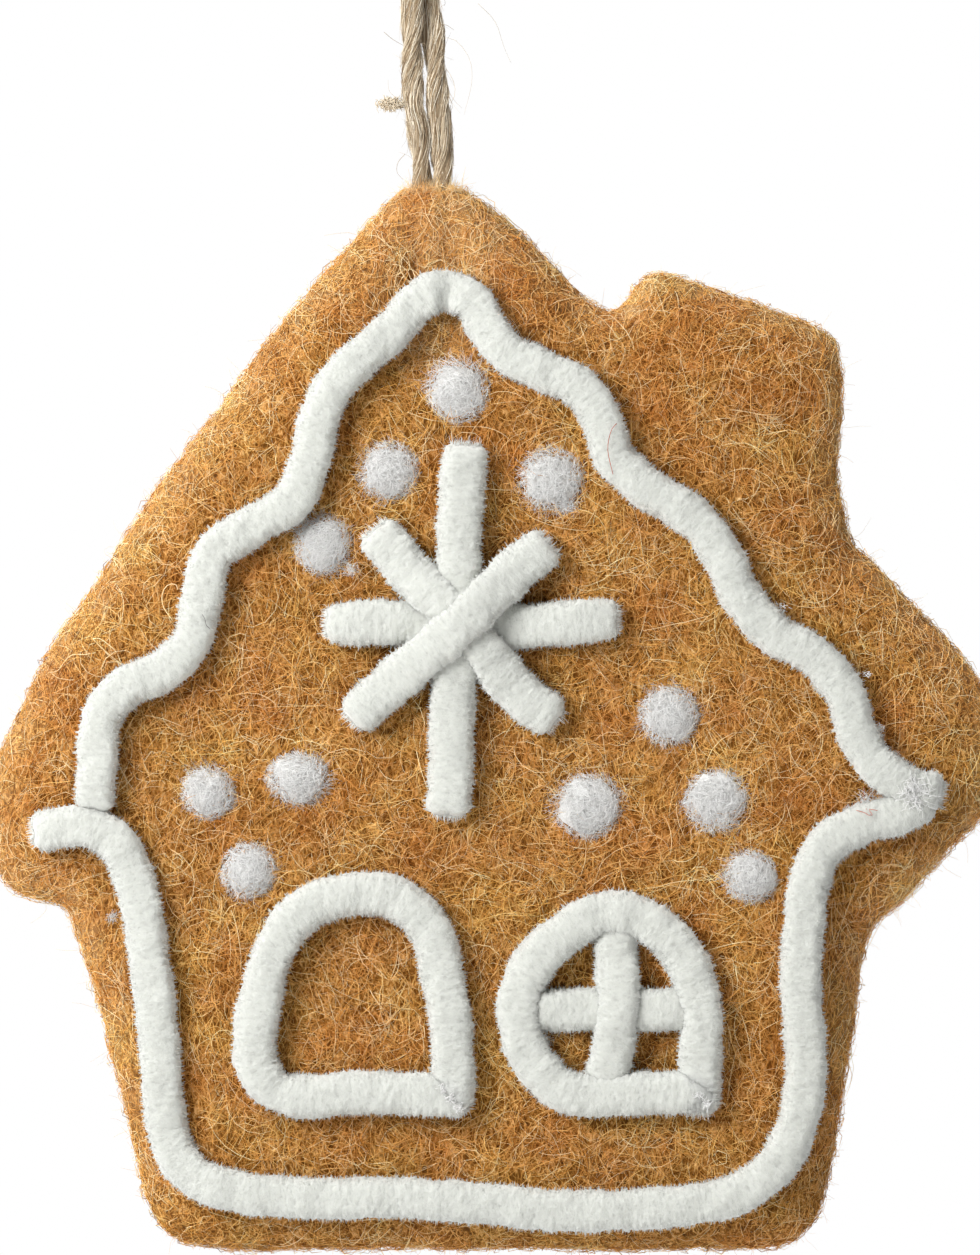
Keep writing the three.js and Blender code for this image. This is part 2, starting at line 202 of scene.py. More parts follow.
# %% The loop's route
TWINE_ROUTE_SHARES = [
    (-0.0875, 0, 0), (-0.0875, 0, 0.05), (-0.117, 0, 0.11), (-0.104, -0.2, 0.18), (-0.071, -0.46, 0.27),
    (-0.083, -0.35, 0.36), (-0.16, -0.12, 0.47), (-0.28, 0, 0.6), (-0.4, 0, 0.73), (-0.475, 0, 0.83),
    (-0.505, 0, 0.885), (-0.508, 0, 0.923), (-0.44, 0, 0.9692), (-0.25, 0, 1.003), (0, 0, 1.0154),
    (0.25, 0, 1.003), (0.44, 0, 0.9692), (0.508, 0, 0.923), (0.505, 0, 0.885), (0.475, 0, 0.83),
    (0.4, 0, 0.73), (0.28, 0, 0.6), (0.16, 0.12, 0.47), (0.083, 0.35, 0.36), (0.071, 0.46, 0.27),
    (0.0875, 0.2, 0.18), (0.092, 0, 0.11), (0.0875, 0, 0.05), (0.0875, 0, 0),
]
TWINE_STEP = 0.22 * MM
TWINE_SIDES = 26
PLY_PITCH = 21 * MM
PLY_RADIUS = 0.64 * MM
BURIED = 2.6 * MM
SLACK_TURN, SLACK_PACE = 1.7, 150
LOBE_LEAST, LOBE_MORE, LOBE_POWER = 1.1, 0.5, 0.9
TWINE_LUMP, TWINE_LUMP_PACE, TWINE_LUMP_ROUND = 0.3, 330, 1.2

twine_points = [
    np.array([LOOP_LEAN * (1 - up) + across * LOOP_WIDTH, depth * TWINE_DIAMETER, (up - 1) * LOOP_DROP])
    for across, depth, up in TWINE_ROUTE_SHARES
]
below = np.array([0, 0, -BURIED])
twine_route, twine_direction, twine_station = smooth_route(
    [twine_points[0] + below, *twine_points, twine_points[-1] + below], TWINE_STEP)
print("twine loop is", round(twine_station[-1] / MM), "mm long")


# %% Two plies twisted
def carried_frames(places, directions):
    """Two unit vectors square to each direction, carried along the route without twisting."""
    side = np.cross(directions[0], FRONT)
    sides = []
    for direction in directions:
        side = side - direction * side.dot(direction)
        side = side / np.linalg.norm(side)
        sides.append(side)
    sides = np.array(sides)
    return sides, np.cross(directions, sides)


def ply_turn(stations):
    """How far the plies have turned at each station, with the slack places of a soft twist."""
    slack = np.array([noise.noise(Vector((s * SLACK_PACE, 3.7, 0))) for s in stations])
    return stations / PLY_PITCH * 2 * math.pi + SLACK_TURN * slack


def ply_radius(stations, angles, thickness=1.0):
    """The radius of a two-ply section that turns along the twine, with lumps where fibres bunch."""
    turned = angles - ply_turn(stations)
    lobe = PLY_RADIUS * (LOBE_LEAST + LOBE_MORE * np.abs(np.cos(turned)) ** LOBE_POWER) * thickness
    lump = [noise.noise(Vector((
        s * TWINE_LUMP_PACE, math.cos(a) * TWINE_LUMP_ROUND, math.sin(a) * TWINE_LUMP_ROUND)))
        for s, a in zip(stations, turned)]
    return lobe * (1 + TWINE_LUMP * np.array(lump))


def two_ply(places, directions, stations, thickness=1.0):
    """The surface of a two-ply twine along a route, as rolled_tube wants it."""
    across, out = carried_frames(places, directions)

    def surface(ring, angle):
        radius = ply_radius(stations[ring], angle, thickness)[:, None]
        return places[ring] + radius * (
            np.cos(angle)[:, None] * across[ring] + np.sin(angle)[:, None] * out[ring])

    return surface


twine = rolled_tube("twine_loop_strands", len(twine_route), TWINE_SIDES,
                    two_ply(twine_route, twine_direction, twine_station))
print("twine has", len(twine.data.polygons), "faces")

swing_height = -LOOP_DROP
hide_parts("twine_loop")
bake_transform(twine)
print("the loop bends between hanger and house at", round(swing_height / MM, 1), "mm")

# %% [markdown]
# ## Finishes as sums
# A finish is a handful of shader nodes. This small class wraps one output of a node, so that a finish can be
# written as a sum, such as 1 - speck * 0.5. Its one other method adds any kind of node: settings come first,
# then the numbers or links of its inputs.


# %% The wrapper for shader sums
class Signal:
    def __init__(self, tree, socket=None):
        self.tree = tree
        self.socket = socket

    def node(self, kind, settings=None, inputs=None, output=0):
        made = self.tree.nodes.new(kind)
        for key, value in (settings or {}).items():
            if key == "stops":
                ramp = made.color_ramp.elements
                while len(ramp) < len(value):
                    ramp.new(0.5)
                for stop, (position, colour) in zip(ramp, value):
                    stop.position = position
                    stop.color = (*colour, 1)
            else:
                setattr(made, key, value)
        for key, value in (inputs or {}).items():
            if isinstance(value, Signal):
                self.tree.links.new(value.socket, made.inputs[key])
            else:
                made.inputs[key].default_value = value
        return Signal(self.tree, made.outputs[output] if made.outputs else None)

    def sum(self, operation, first, second):
        return self.node("ShaderNodeMath", {"operation": operation}, {0: first, 1: second})

    def __add__(self, other):
        return self.sum("ADD", self, other)

    def __sub__(self, other):
        return self.sum("SUBTRACT", self, other)

    def __mul__(self, other):
        return self.sum("MULTIPLY", self, other)

    def __rsub__(self, other):
        return self.sum("SUBTRACT", other, self)


SPECULAR = 0.08
SHEEN_ROUGHNESS = 0.5


def new_finish(name, roughness, sheen=0.0):
    """A material with its surface shader, and the start signal of its node tree."""
    finish = bpy.data.materials.new(name)
    finish.use_nodes = True
    shader = finish.node_tree.nodes["Principled BSDF"]
    shader.inputs["Roughness"].default_value = roughness
    shader.inputs["Specular IOR Level"].default_value = SPECULAR
    shader.inputs["Diffuse Roughness"].default_value = 1.0
    shader.inputs["Sheen Weight"].default_value = sheen
    shader.inputs["Sheen Roughness"].default_value = SHEEN_ROUGHNESS
    shader.inputs["Sheen Tint"].default_value = (1, 1, 1, 1)
    return finish, shader, Signal(finish.node_tree)


def plug(shader, name, signal):
    signal.tree.links.new(signal.socket, shader.inputs[name])


def stretched(start, scales):
    """Object coordinates, in millimetres, stretched by three factors."""
    place = start.node("ShaderNodeTexCoord", output="Object")
    return start.node("ShaderNodeMapping", None, {"Vector": place, "Scale": [s * 1000 for s in scales]})


def cloud(start, vector, scale, detail, rough, distortion=0.0):
    """A soft random pattern from 0 to 1; scale counts its lumps per millimetre."""
    return start.node("ShaderNodeTexNoise", None, {
        "Vector": vector, "Scale": scale, "Detail": detail, "Roughness": rough, "Distortion": distortion})


def attribute(start, name, output="Fac"):
    return start.node("ShaderNodeAttribute", {"attribute_name": name}, None, output)


def ramp(start, factor, stops):
    return start.node("ShaderNodeValToRGB", {"stops": stops}, {"Fac": factor})


def mix(start, factor, first, second):
    return start.node("ShaderNodeMix", {"data_type": "RGBA"}, {0: factor, 6: first, 7: second}, 2)


def soften(shader, weight, reach):
    """Lets light wander under the surface, as it does in white pile."""
    shader.inputs["Subsurface Weight"].default_value = weight
    shader.inputs["Subsurface Radius"].default_value = (1, 1, 1)
    shader.inputs["Subsurface Scale"].default_value = reach


def bump(start, shader, height, distance, strength):
    made = start.node("ShaderNodeBump", None, {"Strength": strength, "Distance": distance, "Height": height})
    plug(shader, "Normal", made)


def paint(piece, finish):
    piece.data.materials.clear()
    piece.data.materials.append(finish)


print("finishes can be written as sums")

# %% [markdown]
# ## Fibres
# A fibre is a line of two to twelve points, thick at the root and thin at the tip. A curve object holds
# thousands of such lines, a tiny triangle is its bevel, and converting it gives closed three-sided tubes.
# Each fibre carries one number, its tone, which its finish turns into a shade of wool, and each has its own
# cell in the map used for baking, so that its colour stays its own.

# %% The fibre's section
SECTION_CORNERS = 3
section_curve = bpy.data.curves.new("fibre_section", "CURVE")
section_curve.dimensions = "2D"
corner_line = section_curve.splines.new("POLY")
corner_line.points.add(SECTION_CORNERS - 1)
for corner, point in enumerate(corner_line.points):
    angle = corner / SECTION_CORNERS * 2 * math.pi
    point.co = (math.cos(angle), math.sin(angle), 0, 1)
corner_line.use_cyclic_u = True
fibre_section = bpy.data.objects.new("fibre_section", section_curve)
print("section with", len(corner_line.points), "corners")


# %% Lines into closed fibres
def spin_fibres(name, paths, radii, tones, finish, body=None):
    """paths is fibres by points by three, radii is fibres by points. Returns the finished piece."""
    fibres, points = paths.shape[:2]
    lines = bpy.data.curves.new(name, "CURVE")
    lines.dimensions = "3D"
    lines.bevel_mode = "OBJECT"
    lines.bevel_object = fibre_section
    lines.use_fill_caps = True
    places = np.concatenate([paths, np.ones((fibres, points, 1))], axis=2)
    for place, radius in zip(places, radii):
        line = lines.splines.new("POLY")
        line.points.add(points - 1)
        line.points.foreach_set("co", place.ravel())
        line.points.foreach_set("radius", radius)
    drawn = put_in_scene(name + "_lines", lines)
    mesh = bpy.data.meshes.new_from_object(drawn.evaluated_get(bpy.context.evaluated_depsgraph_get()))
    bpy.data.objects.remove(drawn)
    bpy.data.curves.remove(lines)
    mesh.name = name
    tone = mesh.attributes.new("fibre_tone", "FLOAT", "POINT")
    fibre, _, _ = fibre_place(np.arange(len(mesh.vertices)), fibres, points)
    tone.data.foreach_set("value", tones[fibre].astype(np.float32))
    give_cells(mesh, fibres, points)
    closed = bmesh.new()
    closed.from_mesh(mesh)
    bmesh.ops.remove_doubles(closed, verts=closed.verts, dist=1e-8)
    bmesh.ops.recalc_face_normals(closed, faces=closed.faces)
    closed.to_mesh(mesh)
    closed.free()
    piece = put_in_scene(name, mesh)
    mesh.materials.clear()
    mesh.materials.append(finish)
    if body:
        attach(piece, body)
    return piece


def fibre_place(index, fibres, points):
    """The fibre, ring and corner of a drawn vertex. Caps are drawn first, from the last fibre backwards."""
    two_caps = 2 * SECTION_CORNERS
    caps = fibres * two_caps
    in_cap = index < caps
    fibre = np.where(in_cap, fibres - 1 - index // two_caps, (index - caps) // (points * SECTION_CORNERS))
    cap_ring = np.where(index % two_caps < SECTION_CORNERS, points - 1, 0)
    ring = np.where(in_cap, cap_ring, (index - caps) // SECTION_CORNERS % points)
    return fibre, ring, index % SECTION_CORNERS


CELL_MARGIN = 0.1
CAP_BULGE = 0.06


def give_cells(mesh, fibres, points):
    """Unwraps each fibre into its own cell of a square grid, with its caps in the cell's margin."""
    corner_of = read_all(mesh.loops, "vertex_index", kind=int)
    sizes = read_all(mesh.polygons, "loop_total", kind=int)
    face_of = np.repeat(np.arange(len(sizes)), sizes)
    fibre, ring, corner = fibre_place(corner_of, fibres, points)
    crosses_seam = np.bincount(face_of[corner == 1], minlength=len(sizes)) == 0
    on_cap = (sizes[face_of] == SECTION_CORNERS) & (corner == 1)
    bulge = np.where(on_cap, np.where(ring > 0, CAP_BULGE, -CAP_BULGE), 0)
    turn = np.where(crosses_seam[face_of] & (corner == 0), SECTION_CORNERS, corner)
    grid = math.ceil(math.sqrt(fibres))
    inner = 1 - 2 * CELL_MARGIN
    across = (fibre % grid + CELL_MARGIN + inner * turn / SECTION_CORNERS) / grid
    along = (fibre // grid + CELL_MARGIN + bulge + inner * ring / (points - 1)) / grid
    cells = mesh.uv_layers.new(name="OFBake")
    cells.data.foreach_set("uv", np.column_stack([across, along]).ravel().astype(np.float32))


print("fibres can be spun")


# %% How a fibre lies
ROOT_SINK = 0.12 * MM
LIFT_TURN = 2.4
NEARLY_LEVEL = 0.3
FINENESS = (0.7, 1.15)
TAPER_POWER = 1.5


def lying_fibres(surface, roots, normals, heading, length, curl, rise, points):
    """Curled lines that start just under a surface, follow it and lift off it a little on the way."""
    place, angle, step = roots, heading, length / (points - 1)
    paths = np.zeros((len(roots), points, 3))
    for index in range(points):
        share = index / (points - 1)
        lift = rise * np.sin(share * LIFT_TURN) - ROOT_SINK * (1 - share)
        paths[:, index] = place + normals * lift[:, None]
        along = np.array([0.0, 0, 1]) - normals * normals[:, 2][:, None]
        level = np.linalg.norm(along, axis=1) < NEARLY_LEVEL
        along[level] = np.array([1.0, 0, 0]) - normals[level] * normals[level, 0][:, None]
        along /= np.linalg.norm(along, axis=1)[:, None]
        beside = np.cross(normals, along)
        angle = angle + curl / (points - 1)
        place = place + step[:, None] * (np.cos(angle)[:, None] * along + np.sin(angle)[:, None] * beside)
        found = [surface.find_nearest(p) for p in place.tolist()]
        place = np.array([f[0] for f in found])
        normals = np.array([f[1] for f in found])
    return paths


def tapering(count, points, thickest, thinnest):
    """Radii from root to tip, with some fibres finer than others."""
    shares = np.linspace(0, 1, points)
    fineness = chance.uniform(*FINENESS, count)[:, None]
    return (thickest + (thinnest - thickest) * shares ** TAPER_POWER)[None, :] * fineness


print("fibres can be laid")

# %% [markdown]
# ## The felt slab
# The slab starts as a copy of the solid part. A voxel remesh gives it even faces, smoothing melts its facets,
# and slow noise leaves the shallow lumps of needled wool. It is a thick soft piece.

# %% The slab's form
VOXEL = 0.85 * MM
SMOOTHING_ROUNDS = 7
felt_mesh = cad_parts["felt_body"].data.copy()
felt_form = bmesh.new()
felt_form.from_mesh(felt_mesh)
bmesh.ops.remove_doubles(felt_form, verts=felt_form.verts, dist=1e-6)
felt_form.to_mesh(felt_mesh)
felt_form.free()
felt_mesh.materials.clear()
raw_felt = put_in_scene("raw_felt", felt_mesh)
remesh = raw_felt.modifiers.new("even_faces", "REMESH")
remesh.mode = "VOXEL"
remesh.voxel_size = VOXEL
slab_mesh = bpy.data.meshes.new_from_object(raw_felt.evaluated_get(bpy.context.evaluated_depsgraph_get()))
bpy.data.objects.remove(raw_felt)
print("slab has", len(slab_mesh.polygons), "faces")

# %% Soften and lump it
# The upper rim and the peak are painted lighter: a painted highlight where the light falls on them, fading to
# little at the foot.
RIM_LIGHT_REACH = 4.5 * MM
PEAK_LIGHT_SHARE = (0.46, 0.96)
PEAK_LIGHT_REACH = 15 * MM
RIM_LIGHT_AT_FOOT = 0.08
PILLOW_REACH = 9 * MM
PILLOW_DROP = 2 * MM
BACK_SHARE = 0.4
FELT_RAISE = 0.12
FELT_LUMPS = [(0.28, 9), (0.16, 3.1), (0.1, 1.2)]
RIM_NORMAL = 0.3
soft = bmesh.new()
soft.from_mesh(slab_mesh)
for _ in range(SMOOTHING_ROUNDS):
    bmesh.ops.smooth_vert(
        soft, verts=soft.verts, factor=0.5, use_axis_x=True, use_axis_y=True, use_axis_z=True)
soft.normal_update()
rim = [v.co.copy() for v in soft.verts if abs(v.normal.y) < RIM_NORMAL]
rim_tree = kdtree.KDTree(len(rim))
for index, place in enumerate(rim):
    rim_tree.insert((place.x, 0, place.z), index)
rim_tree.balance()
slab_middle = (slab_low.y + slab_high.y) / 2
half_thickness = (slab_high.y - slab_low.y) / 2


def face_drop(place):
    """How far the face has sunk at a place, near the slab's rim."""
    return PILLOW_DROP * near_rim(place, PILLOW_REACH)


def near_rim(place, reach):
    """1 at the slab's rim, fading to 0 at a distance."""
    return (1 - min(1, rim_tree.find((place[0], 0, place[2]))[2] / reach)) ** 2


def height_share(place):
    """0 at the slab's foot and 1 from a quarter of its height up."""
    return min(1, 4 * (place[2] - slab_low.z) / HOUSE_HEIGHT)


def painted_light_share(place):
    """How much painted highlight the wool gets: most at the upper rim and the peak, hardly at the foot."""
    from_peak = math.dist((place[0], place[2]), on_house(*PEAK_LIGHT_SHARE)[[0, 2]]) / PEAK_LIGHT_REACH
    return max(near_rim(place, RIM_LIGHT_REACH) * min(1, RIM_LIGHT_AT_FOOT + height_share(place)), 1 - from_peak)


for vertex in soft.verts:
    place = vertex.co / MM
    lump = sum(size * noise.noise(place / reach) for size, reach in FELT_LUMPS)
    drop = face_drop(vertex.co)
    vertex.co += vertex.normal * (FELT_RAISE + lump) * MM
    forward = (slab_middle - vertex.co.y) / half_thickness
    vertex.co.y += drop * (forward if forward > 0 else forward * BACK_SHARE)
for face in soft.faces:
    face.smooth = True
soft.to_mesh(slab_mesh)
soft.free()
# Each vertex keeps its share of that painted rim light.
rim_light_share = slab_mesh.attributes.new("rim_pale", "FLOAT", "POINT")
rim_light_share.data.foreach_set("value", [painted_light_share(v.co) for v in slab_mesh.vertices])
felt = put_in_scene("felt_slab", slab_mesh)
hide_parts("felt_body")
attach(felt, "house")
print("slab softened")


def on_felt(across, up):
    """A point of the softened face, from its two shares."""
    flat_place = on_house(across, up)
    return flat_place - face_drop(flat_place) * FRONT


# %% [markdown]
# ## Where the cords run
# These are the places of the solid part, with some ends moved by up to 4 mm so that the corners of the door
# and the window close. The felt's fibres need the places too, because wool that is trapped under a cord
# doesn't show.

# %% The cords' places
ROOF_TRIM_SHARES = [
    (0.103, 0.413), (0.106, 0.452), (0.111, 0.5), (0.135, 0.528), (0.173, 0.543), (0.202, 0.575),
    (0.21, 0.611), (0.221, 0.651), (0.257, 0.677), (0.3, 0.702), (0.318, 0.738), (0.327, 0.779),
    (0.343, 0.812), (0.375, 0.841), (0.406, 0.868), (0.425, 0.889), (0.452, 0.901), (0.479, 0.889),
    (0.494, 0.865), (0.515, 0.842), (0.552, 0.824), (0.588, 0.808), (0.609, 0.776), (0.622, 0.742),
    (0.656, 0.713), (0.699, 0.687), (0.728, 0.652), (0.748, 0.612), (0.777, 0.58), (0.819, 0.556),
    (0.849, 0.525), (0.862, 0.485), (0.883, 0.453), (0.917, 0.433), (0.946, 0.428),
]
WALL_TRIM_SHARES = [
    (0.043, 0.391), (0.087, 0.397), (0.119, 0.387), (0.14, 0.356), (0.153, 0.303), (0.161, 0.251),
    (0.168, 0.19), (0.173, 0.133), (0.186, 0.085), (0.22, 0.06), (0.307, 0.048), (0.403, 0.048),
    (0.487, 0.043), (0.567, 0.036), (0.657, 0.038), (0.735, 0.049), (0.783, 0.079), (0.804, 0.121),
    (0.811, 0.161), (0.809, 0.213), (0.806, 0.26), (0.81, 0.308), (0.817, 0.35), (0.834, 0.381),
    (0.867, 0.3985), (0.903, 0.4075), (0.934, 0.4245),
]
DOOR_SHARES = [
    (0.473, 0.143), (0.407, 0.146), (0.359, 0.147), (0.308, 0.143), (0.277, 0.154), (0.263, 0.184),
    (0.269, 0.237), (0.283, 0.282), (0.312, 0.319), (0.357, 0.333), (0.405, 0.328), (0.437, 0.3),
    (0.45, 0.256), (0.458, 0.211), (0.461, 0.132),
]
WINDOW_SHARES = [
    (0.704, 0.129), (0.707, 0.194), (0.707, 0.223), (0.693, 0.27), (0.659, 0.305), (0.615, 0.316),
    (0.573, 0.297), (0.538, 0.265), (0.525, 0.223), (0.539, 0.177), (0.576, 0.147), (0.627, 0.146),
    (0.676, 0.147), (0.72, 0.149),
]
CROSSBAR_SHARES = [(0.535, 0.2245), (0.616, 0.2245), (0.697, 0.2245)]
UPRIGHT_SHARES = [(0.621, 0.307), (0.625, 0.232), (0.619, 0.185), (0.609, 0.152)]
STAR_CENTRE_SHARE = (0.466, 0.587)
WINDOW_CENTRE_SHARE = (0.624, 0.2245)
STAR_SHARES = {
    "star_cord_level": [(0.335, 0.588), (0.407, 0.588), (0.466, 0.586), (0.527, 0.585), (0.623, 0.592)],
    "star_cord_upright": [(0.472, 0.754), (0.467, 0.685), (0.464, 0.61), (0.461, 0.534), (0.456, 0.408)],
    "star_cord_falling": [(0.383, 0.675), (0.415, 0.638), (0.469, 0.587), (0.522, 0.526), (0.562, 0.496)],
    "star_cord_rising": [(0.556, 0.661), (0.527, 0.64), (0.467, 0.586), (0.407, 0.537), (0.36, 0.497)],
}
CROSSING_RISE = 1.1 * MM
STAR_REACH = 11 * MM
WINDOW_REACH = 6.5 * MM
TRIM_WIDTH = 4.3 * MM
FRAME_WIDTH = 4.5 * MM
STAR_WIDTH = 4.7 * MM
DOT_DIAMETER = 5.8 * MM
DOT_RISE = 2.5 * MM
DOT_SHARES = {
    "dot_peak": (0.465, 0.803, 1.07, 1.07),
    "dot_upper_left": (0.398, 0.731, 0.97, 0.97),
    "dot_upper_right": (0.558, 0.724, 1.03, 1.03),
    "dot_left_slope": (0.33, 0.661, 0.95, 0.98),
    "dot_left_middle": (0.305, 0.442, 1.07, 0.86),
    "dot_left_eave": (0.216, 0.428, 0.9, 0.9),
    "dot_left_wall": (0.256, 0.355, 0.93, 0.93),
    "dot_centre": (0.595, 0.416, 1.1, 1.1),
    "dot_right_slope": (0.675, 0.501, 1, 1),
    "dot_right_eave": (0.722, 0.421, 1.07, 1.07),
    "dot_right_wall": (0.757, 0.349, 0.9, 0.9),
}


def laid(depth):
    """The lift of a cord that lies on the felt, pressed in by a depth."""
    return lambda place: -depth


def over_crossing(centre_share, rise, reach, depth=0.0):
    """The lift of a cord that passes over others at a crossing."""
    crossing = on_house(*centre_share)

    def lift(place):
        away = min(1.0, np.linalg.norm(place - crossing) / reach)
        return rise * (1 - away * away * (3 - 2 * away)) - depth

    return lift


TRIM_SINK = 0.1 * MM
CROSSBAR_SINK = 0.7 * MM
UPRIGHT_SINK = 0.6 * MM
COVER_STEP = 3
CORDS = {
    "roof_trim": (ROOF_TRIM_SHARES, TRIM_WIDTH, laid(TRIM_SINK)),
    "wall_trim": (WALL_TRIM_SHARES, TRIM_WIDTH, laid(TRIM_SINK)),
    "door_frame": (DOOR_SHARES, FRAME_WIDTH, laid(0)),
    "window_frame": (WINDOW_SHARES, FRAME_WIDTH, laid(0)),
    "window_crossbar": (CROSSBAR_SHARES, FRAME_WIDTH, laid(CROSSBAR_SINK)),
    "window_upright": (UPRIGHT_SHARES, FRAME_WIDTH,
                       over_crossing(WINDOW_CENTRE_SHARE, CROSSING_RISE, WINDOW_REACH, UPRIGHT_SINK)),
}
for layer, (name, shares) in enumerate(STAR_SHARES.items()):
    CORDS[name] = (shares, STAR_WIDTH, over_crossing(STAR_CENTRE_SHARE, layer * CROSSING_RISE, STAR_REACH))
RING_STEP = 0.23 * MM
routes = {
    name: smooth_route([on_house(*share) for share in shares], RING_STEP)
    for name, (shares, _, _) in CORDS.items()
}
print(len(routes), "cords,", round(sum(r[2][-1] for r in routes.values()) / MM), "mm in all")

# %% What covers the felt
covers = []
for name, (places, _, _) in routes.items():
    covers += [(p, CORDS[name][1] / 2, CORD_HEIGHT) for p in places[::COVER_STEP]]
for across, up, width, height in DOT_SHARES.values():
    covers.append((on_house(across, up), DOT_DIAMETER / 2 * (width + height) / 2, DOT_RISE))
cover_tree = kdtree.KDTree(len(covers))
for index, (place, _, _) in enumerate(covers):
    cover_tree.insert(place, index)
cover_tree.balance()


def clear_of_cords(place):
    """How far a point of the face lies outside the nearest cord or dot, in metres; negative is under it."""
    _, index, away = cover_tree.find((place[0], FACE_Y, place[2]))
    return away - covers[index][1]


def cover_height(place):
    """How high the nearest cord or dot stands over the felt at this place."""
    _, index, away = cover_tree.find((place[0], FACE_Y, place[2]))
    return covers[index][2] * math.sqrt(max(0, 1 - (away / covers[index][1]) ** 2))


print(len(covers), "points cover the felt")

# %% [markdown]
# ## Wool on the felt
# Felted wool is a mat of curled fibres. They lie in slow swirls, a little more upright than level, and lift
# off by about 0.3 mm, so each catches light and shades its neighbours. The front gets the most, the
# edges enough for a fuzzy outline, and the back fewer. Every fibre picks a tone between deep brown and straw.

# %% Felt finishes
def web(start, scale, width, seed):
    """Thin bright curls: the places where a soft pattern passes its middle value."""
    vector = start.node("ShaderNodeVectorMath", {"operation": "ADD"},
                        {0: stretched(start, (1, 1, 0.6)), 1: (seed, seed * 2.3, seed * 0.7)})
    away = cloud(start, vector, scale, 2, 0.5, 0.9) - 0.5
    near = 1 - away.sum("ABSOLUTE", away, 0.0) * (1 / width)
    return near.sum("MAXIMUM", near, 0.0)


def wool_patches(start):
    """Slow patches of redder and yellower wool, as a tint."""
    place = stretched(start, (1, 1, 1))
    return ramp(start, cloud(start, place, 0.15, 4, 0.6), [
        (0.3, (0.96, 0.83, 0.74)), (0.5, (1, 1, 1)), (0.68, (1.06, 1.15, 1.1))])


def tinted(start, colour, tint):
    return start.node("ShaderNodeMix", {"data_type": "RGBA", "blend_type": "MULTIPLY"},
                      {0: 1.0, 6: colour, 7: tint}, 2)


RIM_LIGHT_MIX = 0.4
RIM_LIGHT_WOOL = (0.8, 0.52, 0.25, 1)
CURL_DEPTH, GRAIN_DEPTH = 0.42, 0.75
felt_finish, shader, start = new_finish("felt_ground", 0.95)
curls = web(start, 0.9, 0.06, 0) + web(start, 1.3, 0.06, 17) + web(start, 0.7, 0.04, 41) * 0.8
grain = cloud(start, stretched(start, (1, 1, 0.5)), 1.9, 4, 0.7, 0.5)
depth = curls * CURL_DEPTH + grain * GRAIN_DEPTH
# The ground's colour is partly the wool's own curls and grain and partly painted shade: it is much darker
# than the fibres laid on it, for the shade in the gaps between them.
ground = ramp(start, depth, [
    (0.22, (0.085, 0.027, 0.006)), (0.42, (0.25, 0.096, 0.016)),
    (0.7, (0.5, 0.23, 0.048)), (1, (0.8, 0.48, 0.18))])
# Near the upper rim and the peak the ground is mixed towards pale wool: painted highlight.
ground = mix(start, attribute(start, "rim_pale") * RIM_LIGHT_MIX, ground, RIM_LIGHT_WOOL)
plug(shader, "Base Color", tinted(start, ground, wool_patches(start)))
bump(start, shader, depth, 0.35 * MM, 0.8)

wool_finish, shader, start = new_finish("felt_fibre", 0.85)
shade = ramp(start, attribute(start, "fibre_tone"), [
    (0.0, (0.24, 0.075, 0.01)), (0.25, (0.48, 0.195, 0.034)), (0.55, (0.82, 0.42, 0.105)),
    (0.85, (0.97, 0.65, 0.24)), (1.0, (0.98, 0.81, 0.5))])
plug(shader, "Base Color", tinted(start, shade, wool_patches(start)))
paint(felt, felt_finish)
print("felt finishes ready")


# %% Scatter roots over the slab
def scatter(mesh, count, wanted):
    """Random places and normals on a mesh, spread by area over the triangles that wanted() picks."""
    mesh.calc_loop_triangles()
    corners = read_all(mesh.loop_triangles, "vertices", 3, int)
    a, b, c = read_all(mesh.vertices, "co", 3)[corners].transpose(1, 0, 2)
    normals = np.cross(b - a, c - a)
    areas = np.linalg.norm(normals, axis=1)
    normals /= areas[:, None]
    areas = areas * wanted((a + b + c) / 3, normals)
    picked = chance.choice(len(areas), count, p=areas / areas.sum())
    one, two = chance.random((2, count, 1)) ** [[[0.5]], [[1]]]
    spots = a[picked] * (1 - one) + b[picked] * one * (1 - two) + c[picked] * one * two
    return spots, normals[picked]


def swirl_heading(places):
    """The slow swirls of the wool: an angle from upright at each place."""
    x, z = places[:, 0] / MM, places[:, 2] / MM
    slow = 0.7 * np.sin(x / 8.3 + 1.1) * np.cos(z / 7.1)
    slow = slow + 0.5 * np.sin((x + z) / 5.2) + 0.4 * np.cos((x - z) / 11)
    return slow + chance.normal(0, 0.75, len(places)) + math.pi * chance.integers(0, 2, len(places))


CLUMP = 1.1 * MM
UNDER_CORD = 0.5 * MM
LEAST_RISE = 0.04 * MM
TONE_SPREAD, RIM_LIGHT_TONE, CLUMP_TONE = 0.27, 0.22, 0.4
TIP_SHARE = 0.4
FLAT = 0.8


def wool_layer(name, count, wanted, length, rise, points, thickness, tone, curl):
    """One layer of curled fibres on the faces that wanted() picks. Lengths are in millimetres."""
    spots, normals = scatter(slab_mesh, count, wanted)
    if wanted is on_front:
        spots_bare = np.array([clear_of_cords(p) for p in spots]) > -UNDER_CORD
        spots, normals = spots[spots_bare], normals[spots_bare]
    count = len(spots)
    paths = lying_fibres(
        slab_tree, spots, normals, swirl_heading(spots), chance.uniform(*length, count) * MM,
        chance.normal(0, curl, count), np.abs(chance.normal(0, rise, count)) * MM + LEAST_RISE, points)
    # Near the upper rim and the peak the fibres' tones are raised: painted highlight.
    rim_light_share = np.array([painted_light_share(p) for p in spots])
    clump = np.array([noise.noise(Vector(p) / CLUMP) for p in spots])
    tones = np.clip(chance.normal(tone, TONE_SPREAD, count) + RIM_LIGHT_TONE * rim_light_share + CLUMP_TONE * clump, 0, 1)
    radii = tapering(count, points, thickness * MM, thickness * TIP_SHARE * MM)
    piece = spin_fibres(name, paths, radii, tones, wool_finish, "house")
    print(name, count, "fibres,", len(piece.data.polygons), "faces")


